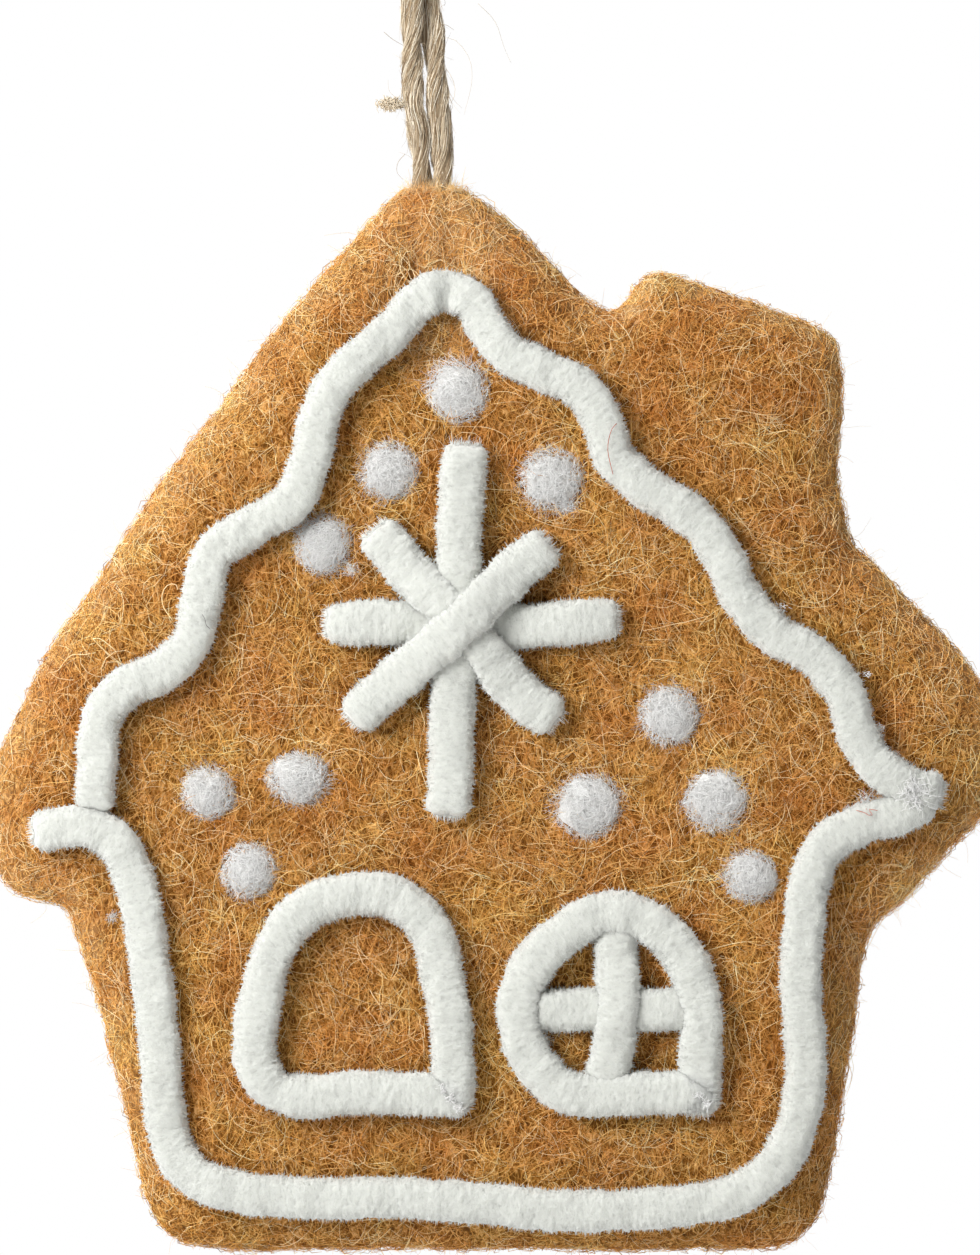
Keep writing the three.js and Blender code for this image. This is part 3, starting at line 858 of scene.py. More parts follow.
def fuzz_layer(name, count, points, least, typical, most, thickness):
    """Hairs that stand off the slab's edge and make its soft outline."""
    spots, normals = scatter(slab_mesh, count, on_edge)
    reach = (np.minimum(chance.exponential(typical, count), most)[:, None] + least) * MM
    heading = normals * 0.8 + chance.normal(0, 0.4, (count, 3))
    paths = np.zeros((count, points, 3))
    place = spots - normals * 0.15 * MM
    for index in range(points):
        paths[:, index] = place
        place = place + heading * reach / (points - 1)
        heading = heading + chance.normal(0, 0.45, (count, 3))
    # The hairs are darker towards the slab's foot: painted shade where the edge faces down.
    tones = np.clip(chance.normal(0.9, 0.1, count) - [0.35 * (1 - height_share(p)) for p in spots], 0, 1)
    radii = tapering(count, points, thickness * MM, thickness * 0.5 * MM)
    piece = spin_fibres(name, paths, radii, tones, wool_finish, "house")
    print(name, count, "hairs")


def on_front(centres, normals):
    return normals[:, 1] < -FLAT


def on_edge(centres, normals):
    return np.abs(normals[:, 1]) <= FLAT


def on_back(centres, normals):
    return normals[:, 1] > FLAT


# %% Lay the wool
slab_form = bmesh.new()
slab_form.from_mesh(slab_mesh)
slab_tree = bvhtree.BVHTree.FromBMesh(slab_form)
slab_form.free()
for layer in range(3):
    wool_layer(f"wool_front_{layer + 1}", 11000, on_front, (2.2, 4.8), 0.32, 4, 0.038, 0.54, 1.3)
wool_layer("wool_front_long", 6500, on_front, (3.5, 7.5), 0.42, 6, 0.038, 0.76, 2.6)
for layer in range(2):
    wool_layer(f"wool_edge_{layer + 1}", 6500, on_edge, (1.4, 3.0), 0.32, 3, 0.044, 0.52, 1.2)
fuzz_layer("wool_fuzz", 11800, 2, 0.25, 0.16, 0.7, 0.02)
fuzz_layer("wool_fuzz_long", 1500, 5, 0.5, 0.4, 1.4, 0.016)
wool_layer("wool_back", 6600, on_back, (2.4, 5.0), 0.3, 3, 0.055, 0.5, 1.2)

# %% [markdown]
# ## Chenille cord
# Chenille is a core with short pile all round, cut so that it stands in fine rings. The form is a tube with
# a boxy section, a flat foot on the felt and soft ridges about 0.8 mm apart along its sides. Pile fibres
# stand in finer rings and break up the outline. The bristles at a cord's cut ends are painted lightest, a
# painted highlight against the shade among them. Cords that cross are lifted over the ones below.

# %% Chenille finishes
ALONG_PER_RING, AROUND_PER_TURN = 0.23, 8.8
chenille_finish, shader, start = new_finish("chenille_ground", 0.9, 0.6)
lay = attribute(start, "lay", "Vector")
rows = start.node("ShaderNodeMapping", None, {
    "Vector": lay, "Scale": (ALONG_PER_RING * 2.3, AROUND_PER_TURN * 1.1, 1)})
pits_and_painted_shade = cloud(start, rows, 1, 3, 0.65) * 0.6 + cloud(start, stretched(start, (1, 1, 1)), 2.6, 3, 0.7) * 0.4
# The colour is darker where the bump is low: painted shade in the pits between the pile's rows and lumps.
plug(shader, "Base Color", ramp(start, pits_and_painted_shade, [
    (0.36, (0.54, 0.545, 0.51)), (0.46, (0.625, 0.635, 0.595)), (0.62, (0.68, 0.69, 0.645))]))
bump(start, shader, pits_and_painted_shade, 0.32 * MM, 0.9)
soften(shader, 0.6, 0.7 * MM)

pile_finish, shader, start = new_finish("chenille_pile", 0.85, 0.6)
# The lightest stop goes only to the end bristles: a painted highlight.
plug(shader, "Base Color", ramp(start, attribute(start, "fibre_tone"), [
    (0, (0.57, 0.575, 0.54)), (0.4, (0.65, 0.66, 0.62)), (0.8, (0.72, 0.73, 0.69)), (1, (0.82, 0.83, 0.79))]))
soften(shader, 0.25, 0.15 * MM)
print("chenille finishes ready")

# %% The cord's form
SECTION_MIDDLE_SHARE = 0.42
PITCH = 0.82 * MM
CORD_SIDES = 26
PILE_STAND = 0.16 * MM
END_ROUNDING = 1.25 * MM
RAGGED = 0.08 * MM
BOXINESS = 3
BEND_REACH = 2.5 * MM
END_LEAST = 0.66
LONG_TAPER = 4 * MM
LEAST_HEIGHT = 0.03 * MM
FOOT_ANGLE = 0.25
SEEN_SHARE = 0.87


class Cord:
    """A laid cord: where its surface is, for any station and angle."""

    def __init__(self, name):
        self.name = name
        shares, width, lift = CORDS[name]
        self.places, self.directions, self.stations = routes[name]
        window = np.ones(2 * round(BEND_REACH / RING_STEP) + 1)
        padded = np.pad(self.directions, ((len(window) // 2, len(window) // 2), (0, 0)), "edge")
        eased = np.column_stack([np.convolve(padded[:, i], window / window.sum(), "valid") for i in range(3)])
        self.across = np.cross(eased / np.linalg.norm(eased, axis=1)[:, None], FRONT)
        self.lift = np.array([lift(p) - face_drop(p) for p in self.places])
        self.half = width / 2 - PILE_STAND
        self.crown = CORD_HEIGHT * (1 - SECTION_MIDDLE_SHARE) - PILE_STAND
        self.middle = CORD_HEIGHT * SECTION_MIDDLE_SHARE
        self.seed = sum(map(ord, name))

    def from_end(self, ring):
        return np.minimum(self.stations[ring], self.stations[-1] - self.stations[ring])

    def end_scale(self, ring):
        """How thick the cord is near its two ends. The star's level cord thins out over a longer stretch."""
        reach = LONG_TAPER if self.name == "star_cord_level" else END_ROUNDING
        share = np.clip(self.from_end(ring) / reach, 0, 1)
        return END_LEAST + (1 - END_LEAST) * np.sqrt(1 - (1 - share) ** 2)

    def ridge(self, ring, angle):
        """Rings of pile, deep at the cord's sides and matted smooth on its back, and softer lumps."""
        station = self.stations[ring]
        cosine, sine = np.cos(angle), np.sin(angle)
        spots = [Vector((s * 1000, c * 2, q * 2 + self.seed)) for s, c, q in zip(station, cosine, sine)]
        wander = np.array([noise.noise(spot * 0.6) for spot in spots])
        lump = np.array([noise.noise(spot * 0.45) for spot in spots])
        fine = np.array([noise.noise(spot * 1.7) * 0.07 + noise.noise(spot * 4.3) * 0.03 for spot in spots])
        wave = np.cos((station / PITCH + 0.6 * wander) * 2 * math.pi)
        return 1 + 0.05 * (0.6 + wander) * np.abs(cosine) ** 2 * wave + 0.14 * lump + fine

    def surface(self, ring, angle, stand=0.0):
        """Points of the surface. Angle 0 points across the cord and a quarter turn points off the felt."""
        size = self.end_scale(ring) * self.ridge(ring, angle)
        boxy = (np.abs(np.cos(angle)) ** BOXINESS + np.abs(np.sin(angle)) ** BOXINESS) ** (-1 / BOXINESS)
        side = np.cos(angle) * boxy * (self.half * size + stand)
        up = self.middle * self.end_scale(ring) ** 0.5 + np.sin(angle) * boxy * (self.crown * size + stand)
        up = np.maximum(up, LEAST_HEIGHT) + self.lift[ring]
        ragged = RAGGED * np.clip(1 - self.from_end(ring) / END_ROUNDING, 0, 1) * (
            np.sin(2 * angle + self.seed) + np.sin(5 * angle + 2 * self.seed))
        along = ragged[:, None] * self.directions[ring]
        return self.places[ring] + along + side[:, None] * self.across[ring] + up[:, None] * FRONT


def top_heavy(angle):
    """Moves most of the section's corners to the side that is seen."""
    corners = [-FOOT_ANGLE, math.pi + FOOT_ANGLE, 2 * math.pi - FOOT_ANGLE]
    return np.interp(angle / (2 * math.pi), [0, SEEN_SHARE, 1], corners)


chenille = {name: Cord(name) for name in CORDS}
for name, cord in chenille.items():
    piece = rolled_tube(name + "_chenille", len(cord.places), CORD_SIDES,
                        lambda ring, angle, cord=cord: cord.surface(ring, top_heavy(angle)))
    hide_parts(name)
    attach(piece, "house")
    paint(piece, chenille_finish)
    print(piece.name, len(piece.data.polygons), "faces")


# %% The pile
PILE_PITCH = 0.46 * MM
PILE_PER_MM = 85
END_BRISTLES = 420
SIDE_SHARE = 0.86
SIDE_ANGLES, BACK_ANGLES = (-0.25, 0.9), (0.9, 1.6)


def standing_pile(cord, count):
    """Tufts in fine rings all over the cord: short on its back, and standing out at its two sides."""
    station = chance.uniform(0, cord.stations[-1], count)
    station = (np.rint(station / PILE_PITCH) + chance.normal(0, 0.2, count)) * PILE_PITCH
    ring = np.clip(np.rint(station / RING_STEP).astype(int), 0, len(cord.places) - 1)
    slip = (station - cord.stations[ring])[:, None] * cord.directions[ring]
    at_side = chance.random(count) < SIDE_SHARE
    angle = np.where(at_side, chance.uniform(*SIDE_ANGLES, count), chance.uniform(*BACK_ANGLES, count))
    angle = np.where(chance.random(count) < 0.5, angle, math.pi - angle)
    sideways = np.clip(np.abs(np.cos(angle)) * 1.5 - 0.4, 0, 1)
    stand = 0.08 + np.abs(chance.normal(0, 0.07, count)) + 0.14 * chance.random(count) ** 2
    reach = 0.03 + stand * sideways
    root = cord.surface(ring, angle, -0.2 * MM)
    skin = cord.surface(ring, angle)
    tip = skin + (cord.surface(ring, angle, MM) - skin) * reach[:, None]
    lean = chance.normal(0, 0.07 * MM, (count, 3)) * (0.3 + 0.7 * sideways)[:, None]
    return root + slip, tip + slip + lean


def end_pile(cord, count):
    """Bristles that stick out of the two cut ends."""
    ring = np.where(chance.random(count) < 0.5, 0, len(cord.places) - 1)
    outward = np.where(ring == 0, -1, 1)[:, None] * cord.directions[ring]
    angle = chance.uniform(0, math.pi, count)
    middle = cord.places[ring] + (cord.middle * 0.75 + cord.lift[ring])[:, None] * FRONT
    root = middle + (cord.surface(ring, angle) - middle) * np.sqrt(chance.random(count))[:, None]
    tip = root + outward * (0.1 + np.abs(chance.normal(0, 0.24, count)))[:, None] * MM
    return root - outward * 0.3 * MM, tip + chance.normal(0, 0.2 * MM, (count, 3))


def pile(name, cords):
    """The pile of some cords as one piece, with the bristles of their ends in the lightest tone, a painted
    highlight.
    """
    paths, tones = [], []
    for cord in cords:
        count = int(cord.stations[-1] / MM * PILE_PER_MM)
        paths += [standing_pile(cord, count), end_pile(cord, END_BRISTLES)]
        # End bristles get the lightest tone: painted highlight against the shade among them.
        tones += [np.clip(chance.normal(0.4, 0.2, count), 0, 0.8), np.ones(END_BRISTLES)]
    paths = np.concatenate([np.stack(pair, axis=1) for pair in paths])
    tones = np.concatenate(tones)
    thickness = tapering(len(paths), 2, 0.06 * MM, 0.014 * MM)
    piece = spin_fibres(name, paths, thickness, tones, pile_finish, "house")
    print(name, len(paths), "fibres")


pile("pile_roof", [chenille["roof_trim"]])
pile("pile_wall", [chenille["wall_trim"]])
pile("pile_door", [chenille["door_frame"]])
pile("pile_window", [chenille[n] for n in ("window_frame", "window_crossbar", "window_upright")])
pile("pile_star", [chenille[n] for n in STAR_SHARES])

# %% [markdown]
# ## Wool dots
# Each dot is a pinch of white wool needled onto the felt: a low dome with an uneven rim, fibres that wind
# round it, and a few that escape over the brown. The white is cooler than the cord's.

# %% Dot finishes
dot_finish, shader, start = new_finish("dot_ground", 0.95, 0.3)
grain = cloud(start, stretched(start, (1, 1, 1)), 2.2, 5, 0.7, 0.8)
plug(shader, "Base Color", ramp(start, grain, [(0.3, (0.72, 0.715, 0.7)), (0.7, (0.82, 0.815, 0.8))]))
bump(start, shader, grain, 0.06 * MM, 0.5)
soften(shader, 0.4, 0.6 * MM)
strand_finish, shader, start = new_finish("dot_fibre", 0.8, 0.3)
plug(shader, "Base Color", ramp(start, attribute(start, "fibre_tone"), [
    (0, (0.83, 0.825, 0.81)), (0.5, (0.9, 0.895, 0.88)), (1, (0.95, 0.95, 0.94))]))
print("dot finishes ready")

# %% The domes
DOT_SINK = 0.3 * MM
DOT_DOME = DOT_RISE * 0.66
DOME_POWER = 1.3
DOT_WOBBLES = [(0.26, 1.3), (0.12, 3), (0.05, 7)]
for name, (across, up, width, height) in DOT_SHARES.items():
    dome = bmesh.new()
    bmesh.ops.create_icosphere(dome, subdivisions=3, radius=1)
    seat = Vector(on_felt(across, up))
    for vertex in dome.verts:
        spot = vertex.co + seat * 900
        wobble = sum((size * noise.noise(spot * pace) for size, pace in DOT_WOBBLES), 0.86)
        x, y, z = vertex.co * wobble
        out = (-y) ** DOME_POWER * DOT_DOME if y < 0 else -y * DOT_SINK
        vertex.co = seat + Vector((x * width * DOT_DIAMETER / 2, -out, z * height * DOT_DIAMETER / 2))
    for face in dome.faces:
        face.smooth = True
    mesh = bpy.data.meshes.new(name + "_wool")
    dome.to_mesh(mesh)
    dome.free()
    piece = put_in_scene(name + "_wool", mesh)
    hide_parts(name)
    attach(piece, "house")
    paint(piece, dot_finish)
print(len(DOT_SHARES), "domes")


# %% Fibres that wind round the dots
def dot_fibres(name, count, points, reach_range, length_range, stray_share, thickness):
    """count fibres to a dot, their lengths as shares of its radius. The strays among them point outward."""
    paths = []
    for across, up, width, height in DOT_SHARES.values():
        seat = on_felt(across, up)
        reach = np.sqrt(chance.uniform(*reach_range, count))
        bearing = chance.uniform(0, 2 * math.pi, count)
        heading = bearing + math.pi / 2 + chance.normal(0, 1.1, count)
        stray = chance.random(count) < stray_share
        heading = np.where(stray, bearing + chance.normal(0, 0.7, count), heading)
        length = chance.uniform(*length_range, count)
        x, z = reach * np.cos(bearing), reach * np.sin(bearing)
        curl = chance.normal(0, 1.6, count)
        lift = np.abs(chance.normal(0, 0.06 * MM, count))
        line = np.zeros((count, points, 3))
        for index in range(points):
            away = np.minimum(np.hypot(x, z), 1.3)
            dome = np.clip(1 - (away / 1.08) ** 2, 0, 1) ** 0.65 * DOT_DOME + 0.06 * MM
            dome = dome + lift * math.sin(index / (points - 1) * 2.6) * 2 - (index == 0) * 0.3 * MM
            line[:, index] = seat + np.column_stack([
                x * width * DOT_DIAMETER / 2, -dome, z * height * DOT_DIAMETER / 2])
            x, z = x + np.cos(heading) * length / (points - 1), z + np.sin(heading) * length / (points - 1)
            heading = heading + curl / (points - 1)
        paths.append(line)
    paths = np.concatenate(paths)
    tones = np.clip(chance.normal(0.6, 0.25, len(paths)), 0, 1)
    radii = tapering(len(paths), points, thickness * MM, thickness * 0.4 * MM)
    piece = spin_fibres(name, paths, radii, tones, strand_finish, "house")
    print(name, len(paths), "fibres")


dot_fibres("dot_fibres", 630, 3, (0, 0.98), (0.25, 0.65), 0.04, 0.028)
dot_fibres("dot_halo", 220, 4, (0.6, 1.1), (0.25, 0.6), 0.7, 0.018)

# %% [markdown]
# ## Stray fibres and tufts
# Hand-made wool is never clean. A few long pale hairs loop over the felt, a red thread lies across the trim,
# there is dark lint on the white, and bits of fluff cling to the cords.

# %% Places of the strays
PALE_STRAYS = [
    [(0.612, 0.639), (0.621, 0.645), (0.636, 0.65), (0.647, 0.646), (0.654, 0.639), (0.657, 0.625)],
    [(0.612, 0.639), (0.628, 0.636), (0.636, 0.638), (0.652, 0.644), (0.661, 0.65), (0.673, 0.655)],
    [(0.63, 0.635), (0.639, 0.635), (0.648, 0.627), (0.656, 0.618)],
    [(0.611, 0.618), (0.621, 0.619), (0.634, 0.618)],
    [(0.186, 0.619), (0.184, 0.624), (0.177, 0.624), (0.172, 0.619), (0.17, 0.611), (0.172, 0.602),
     (0.177, 0.595), (0.181, 0.59)],
    [(0.101, 0.573), (0.108, 0.566), (0.12, 0.556), (0.13, 0.549)],
    [(0.101, 0.573), (0.108, 0.573), (0.117, 0.567), (0.125, 0.56), (0.128, 0.553), (0.13, 0.549)],
    [(0.058, 0.541), (0.066, 0.543), (0.074, 0.553), (0.081, 0.558), (0.093, 0.558), (0.104, 0.56)],
    [(0.06, 0.54), (0.066, 0.536), (0.072, 0.535), (0.08, 0.534), (0.083, 0.535)],
    [(0.589, 0.734), (0.592, 0.738), (0.597, 0.74), (0.602, 0.735), (0.6, 0.727), (0.592, 0.727)],
    [(0.597, 0.723), (0.605, 0.718), (0.614, 0.715), (0.62, 0.716)],
    [(0.404, 0.936), (0.409, 0.932), (0.416, 0.925), (0.421, 0.917), (0.423, 0.91)],
    [(0.407, 0.938), (0.409, 0.928), (0.408, 0.92), (0.413, 0.912), (0.418, 0.908)],
    [(0.4, 0.925), (0.408, 0.924), (0.415, 0.918), (0.418, 0.911)],
    [(0.405, 0.915), (0.412, 0.92), (0.42, 0.92), (0.427, 0.914)],
    [(0.41, 0.934), (0.415, 0.93), (0.417, 0.922), (0.413, 0.916), (0.409, 0.912)],
]
RED_STRAYS = [
    [(0.626, 0.777), (0.619, 0.771), (0.615, 0.76), (0.614, 0.749), (0.617, 0.735), (0.62, 0.724)],
    [(0.851, 0.416), (0.858, 0.413), (0.869, 0.41), (0.875, 0.407), (0.877, 0.408), (0.873, 0.413),
     (0.882, 0.412)],
    [(0.87, 0.434), (0.869, 0.427), (0.87, 0.42), (0.871, 0.413)],
]
DARK_STRAYS = [
    [(0.211, 0.596), (0.214, 0.591), (0.215, 0.586), (0.219, 0.582)],
    [(0.397, 0.617), (0.404, 0.613), (0.407, 0.609)],
    [(0.485, 0.564), (0.482, 0.561), (0.486, 0.559), (0.484, 0.556)],
    [(0.119, 0.5205), (0.1195, 0.52)],
]
print(len(PALE_STRAYS + RED_STRAYS + DARK_STRAYS), "strays")


# %% Draw the strays
def resampled(points, count):
    places, _, stations = smooth_route(points, 0.1 * MM)
    wanted = np.linspace(0, stations[-1], count)
    return np.column_stack([np.interp(wanted, stations, places[:, i]) for i in range(3)])


STRAY_POINTS = 12
STRAY_LIFT = 0.4 * MM


def draw_strays(name, lists, thickness, finish):
    paths = []
    for shares in lists:
        line = resampled([on_felt(*share) for share in shares], STRAY_POINTS)
        lift = np.array([cover_height(p) for p in line]) + STRAY_LIFT
        paths.append(line + lift[:, None] * FRONT)
    radii = np.full((len(paths), STRAY_POINTS), thickness * MM)
    piece = spin_fibres(name, np.array(paths), radii, np.ones(len(paths)), finish, "house")


thread_finish, shader, _ = new_finish("red_thread", 0.8)
shader.inputs["Base Color"].default_value = (0.55, 0.11, 0.05, 1)
lint_finish, shader, _ = new_finish("dark_lint", 0.8)
shader.inputs["Base Color"].default_value = (0.1, 0.09, 0.08, 1)
draw_strays("pale_strays", PALE_STRAYS, 0.05, wool_finish)
draw_strays("red_strays", RED_STRAYS, 0.035, thread_finish)
draw_strays("dark_strays", DARK_STRAYS, 0.03, lint_finish)

# %% Tufts of fluff
TUFTS = [
    (0.12, 0.312, 0.6, 66), (0.359, 0.638, 0.9, 90), (0.555, 0.196, 0.6, 72), (0.573, 0.698, 1.1, 180),
    (0.875, 0.415, 1.6, 180), (0.108, 0.411, 0.8, 80),
]
TUFT_POINTS = 5


def tuft(middle, size, count, depth=0.4):
    """A ball of loose fibres round a point; size is its three reaches in millimetres."""
    place = middle + chance.normal(0, 0.35 * MM, (count, 3)) * size
    heading = chance.normal(0, 1, (count, 3)) * [1, depth, 1]
    line = np.zeros((count, TUFT_POINTS, 3))
    for index in range(TUFT_POINTS):
        line[:, index] = place
        place = place + heading / np.linalg.norm(heading, axis=1)[:, None] * np.mean(size) * 0.25 * MM
        heading = heading + chance.normal(0, 0.6, (count, 3)) * [1, depth, 1]
    return line


tuft_paths = []
for across, up, size, count in TUFTS:
    middle = on_felt(across, up)
    middle = middle + (cover_height(middle) * 0.5 + 0.4 * MM) * FRONT
    tuft_paths.append(tuft(middle, np.array([1, 0.5, 1]) * size, count))
tuft_paths = np.concatenate(tuft_paths)
tuft_tones = np.clip(chance.normal(0.4, 0.3, len(tuft_paths)), 0, 1)
tufts = spin_fibres("white_tufts", tuft_paths, tapering(len(tuft_paths), TUFT_POINTS, 0.022 * MM, 0.01 * MM),
                    tuft_tones, strand_finish, "house")
print(len(tuft_paths), "fibres in tufts")

# %% Pile over the joins, and loose tufts of it on the roof's cord
JOINS = [
    (0.92, 0.428, 1.9, 130, -0.05), (0.442, 0.16, 0.6, 34, 0), (0.45, 0.151, 0.6, 34, 0),
    (0.458, 0.142, 0.6, 34, 0), (0.466, 0.133, 0.6, 34, 0), (0.689, 0.163, 0.6, 34, 0),
    (0.697, 0.154, 0.6, 34, 0), (0.705, 0.145, 0.6, 34, 0), (0.712, 0.137, 0.6, 34, 0),
    (0.787, 0.602, 0.6, 22, 1.4), (0.873, 0.539, 0.5, 20, 1.6), (0.885, 0.489, 0.6, 24, 1.6),
]
join_paths = []
for across, up, size, count, lift in JOINS:
    middle = on_felt(across, up)
    middle = middle + (cover_height(middle) + lift * MM) * FRONT
    join_paths.append(tuft(middle, np.array([1, 0.1, 1]) * size, count, 0.12))
join_paths = np.concatenate(join_paths)
# The join tufts take the dots' whiter finish, lighter than the cords' pile: painted light that makes up for
# the shade inside the tufts.
joins = spin_fibres("pile_joins", join_paths, tapering(len(join_paths), TUFT_POINTS, 0.04 * MM, 0.02 * MM),
                    np.clip(chance.normal(0.4, 0.2, len(join_paths)), 0, 1), strand_finish, "house")
print(len(join_paths), "fibres over the joins")

# %% [markdown]
# ## Jute
# Jute is straw-coloured and dry, with fine lengthwise fibre and short hairs that stand off all along it.

# %% Jute finish
jute_finish, shader, start = new_finish("jute", 0.85, 0.1)
grain = cloud(start, stretched(start, (1, 1, 0.2)), 3.4, 5, 0.7, 0.4)
# The grain is partly the jute's own streaky colour and partly painted shade: its darkest stops, where the
# bump is low, are the shade in the gaps between fibres.
plug(shader, "Base Color", ramp(start, grain, [
    (0.28, (0.14, 0.09, 0.045)), (0.5, (0.37, 0.27, 0.165)), (0.75, (0.66, 0.55, 0.4))]))
bump(start, shader, grain, 0.15 * MM, 0.8)
paint(twine, jute_finish)
hair_finish, shader, start = new_finish("jute_hair", 0.75, 0.1)
plug(shader, "Base Color", ramp(start, attribute(start, "fibre_tone"), [
    (0, (0.26, 0.17, 0.095)), (0.3, (0.57, 0.445, 0.29)),
    (0.6, (0.79, 0.685, 0.52)), (1, (0.92, 0.865, 0.74))]))
print("jute finish ready")


# %% Fibres along the twine
def twine_fibres(name, count, points, length, spread, thickness, height_floor):
    """Fibres that follow the plies and rise off them towards their tips, by spread in millimetres."""
    across, out = carried_frames(twine_route, twine_direction)
    first = [i for i, p in enumerate(twine_route) if p[2] > height_floor]
    begin = twine_station[chance.choice(first, count)]
    run = chance.uniform(*length, count) * MM * np.sign(chance.normal(0, 1, count))
    angle = chance.uniform(0, 2 * math.pi, count)
    drift = chance.normal(0, 0.6, count)
    lift = spread(count) * MM
    paths = np.zeros((count, points, 3))
    for index in range(points):
        share = index / (points - 1)
        station = np.clip(begin + run * share, first[0] * TWINE_STEP, first[-1] * TWINE_STEP)
        ring = np.clip(np.rint(station / TWINE_STEP).astype(int), 0, len(twine_route) - 1)
        turn = angle + drift * share + ply_turn(station) - ply_turn(begin)
        radius = (ply_radius(station, turn) + lift * share ** 2)[:, None]
        slip = (station - twine_station[ring])[:, None] * twine_direction[ring]
        side = np.cos(turn)[:, None] * across[ring] + np.sin(turn)[:, None] * out[ring]
        paths[:, index] = twine_route[ring] + slip + radius * side
    tones = np.clip(chance.normal(0.55, 0.33, count), 0, 1)
    radii = tapering(count, points, thickness * MM, thickness * 0.5 * MM)
    piece = spin_fibres(name, paths, radii, tones, hair_finish)
    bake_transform(piece)
    print(name, count, "fibres")


twine_fibres("jute_strands", 2200, 7, (2.5, 8), lambda n: chance.uniform(0, 0.25, n), 0.05,
             swing_height - 2.4 * MM)
twine_fibres("jute_hairs", 1300, 6, (0.8, 3.4), lambda n: np.minimum(chance.exponential(0.45, n), 1.4),
             0.019, swing_height + 0.6 * MM)

# %% Curls along the twine
CURLS = 150
CURL_POINTS = 8
CURL_FLOOR, CURL_CEILING = -60 * MM, -8 * MM
curl_rings = chance.choice([i for i, p in enumerate(twine_route) if CURL_FLOOR < p[2] < CURL_CEILING], CURLS)
curl_turn = chance.uniform(0, 2 * math.pi, CURLS)
curl_across, curl_out = carried_frames(twine_route, twine_direction)
curl_side = (np.cos(curl_turn)[:, None] * curl_across[curl_rings]
             + np.sin(curl_turn)[:, None] * curl_out[curl_rings])
curl_place = twine_route[curl_rings] + curl_side * PLY_RADIUS
curl_heading = curl_side + chance.normal(0, 0.5, (CURLS, 3))
curl_bend = chance.normal(0, 0.55, (CURLS, 3))
curl_step = chance.uniform(0.12, 0.42, (CURLS, 1)) * MM
curls = np.zeros((CURLS, CURL_POINTS, 3))
for index in range(CURL_POINTS):
    curls[:, index] = curl_place
    curl_heading = curl_heading / np.linalg.norm(curl_heading, axis=1)[:, None]
    curl_place = curl_place + curl_heading * curl_step
    curl_heading = curl_heading + np.cross(curl_heading, curl_bend)
curled = spin_fibres("jute_curls", curls, tapering(CURLS, CURL_POINTS, 0.027 * MM, 0.014 * MM),
                     chance.uniform(0, 0.5, CURLS), hair_finish, "hanger")
print(CURLS, "curls")

# %% Long hairs of the twine
TWINE_HAIRS = [
    [(0.436, 1.131), (0.457, 1.14), (0.476, 1.121), (0.479, 1.1), (0.471, 1.067)],
    [(0.485, 1.172), (0.502, 1.155), (0.511, 1.131), (0.518, 1.116)],
    [(0.391, 1.145), (0.4, 1.138), (0.415, 1.13)],
    [(0.44, 1.12), (0.452, 1.112), (0.462, 1.093), (0.458, 1.078), (0.446, 1.085), (0.45, 1.1)],
    [(0.445, 1.09), (0.455, 1.085), (0.459, 1.072), (0.448, 1.068)],
    [(0.44, 1.15), (0.452, 1.152), (0.461, 1.147)],
    [(0.412, 1.03), (0.405, 1.022), (0.404, 1.013), (0.41, 1.006)],
    [(0.415, 1.075), (0.403, 1.083), (0.396, 1.09), (0.395, 1.1)],
    [(0.44, 1.045), (0.452, 1.036), (0.456, 1.024), (0.45, 1.012)],
]
lines = np.array([
    resampled([on_house(*share, -TWINE_LAYER) for share in shares], STRAY_POINTS) for shares in TWINE_HAIRS])
long_hairs = spin_fibres("jute_long_hairs", lines, tapering(len(lines), STRAY_POINTS, 0.028 * MM, 0.014 * MM),
                         chance.uniform(0.1, 0.6, len(lines)), hair_finish, "hanger")
print(len(lines), "long hairs")

# %% Fluff on the twine, and wool round its foot
FLUFF_SHARE = (0.399, 1.077)
FLUFF_SIZE = (1.5, 0.45, 0.4)
FLUFF_FIBRES = 330
fluff_lines = tuft(on_house(*FLUFF_SHARE, -TWINE_LAYER), np.array(FLUFF_SIZE), FLUFF_FIBRES)
fluff = spin_fibres("twine_fluff", fluff_lines, tapering(FLUFF_FIBRES, TUFT_POINTS, 0.055 * MM, 0.03 * MM),
                    chance.uniform(0.4, 0.85, FLUFF_FIBRES), hair_finish, "hanger")

FOOT_HAIRS = 900
FOOT_SPREAD = np.array([2.2, 1.5, 0]) * MM
foot_spot = np.array([LOOP_LEAN, -0.8 * MM, slab_high.z + 2 * MM])
foot_roots = foot_spot + chance.normal(0, 1, (FOOT_HAIRS, 3)) * FOOT_SPREAD
found = [slab_tree.find_nearest(p) for p in foot_roots.tolist()]
foot_roots = np.array([f[0] for f in found])
foot_reach = chance.uniform(0.2, 0.85, (FOOT_HAIRS, 1)) * MM
foot_lean = np.array([f[1] for f in found]) * 0.4 + [0, 0, 0.6] + chance.normal(0, 0.35, (FOOT_HAIRS, 3))
foot_bend = chance.normal(0, 0.6, (FOOT_HAIRS, 3))
foot_lines = np.stack([foot_roots - [0, 0, 0.2 * MM], foot_roots + foot_lean * foot_reach * 0.5,
                       foot_roots + (foot_lean + foot_bend) * foot_reach], axis=1)
foot_wool = spin_fibres("wool_foot", foot_lines, tapering(FOOT_HAIRS, 3, 0.02 * MM, 0.01 * MM),
                        np.clip(chance.normal(0.93, 0.08, FOOT_HAIRS), 0, 1), wool_finish, "house")
print(FLUFF_FIBRES + FOOT_HAIRS, "fibres on the twine and round its foot")

# %% [markdown]
# ## The knot inside
# Something inside must hold the loop. It doesn't show, so it is assumed: two tails of the same twine run down
# inside the peak to a simple overhand knot, and the felt is needled shut round them.

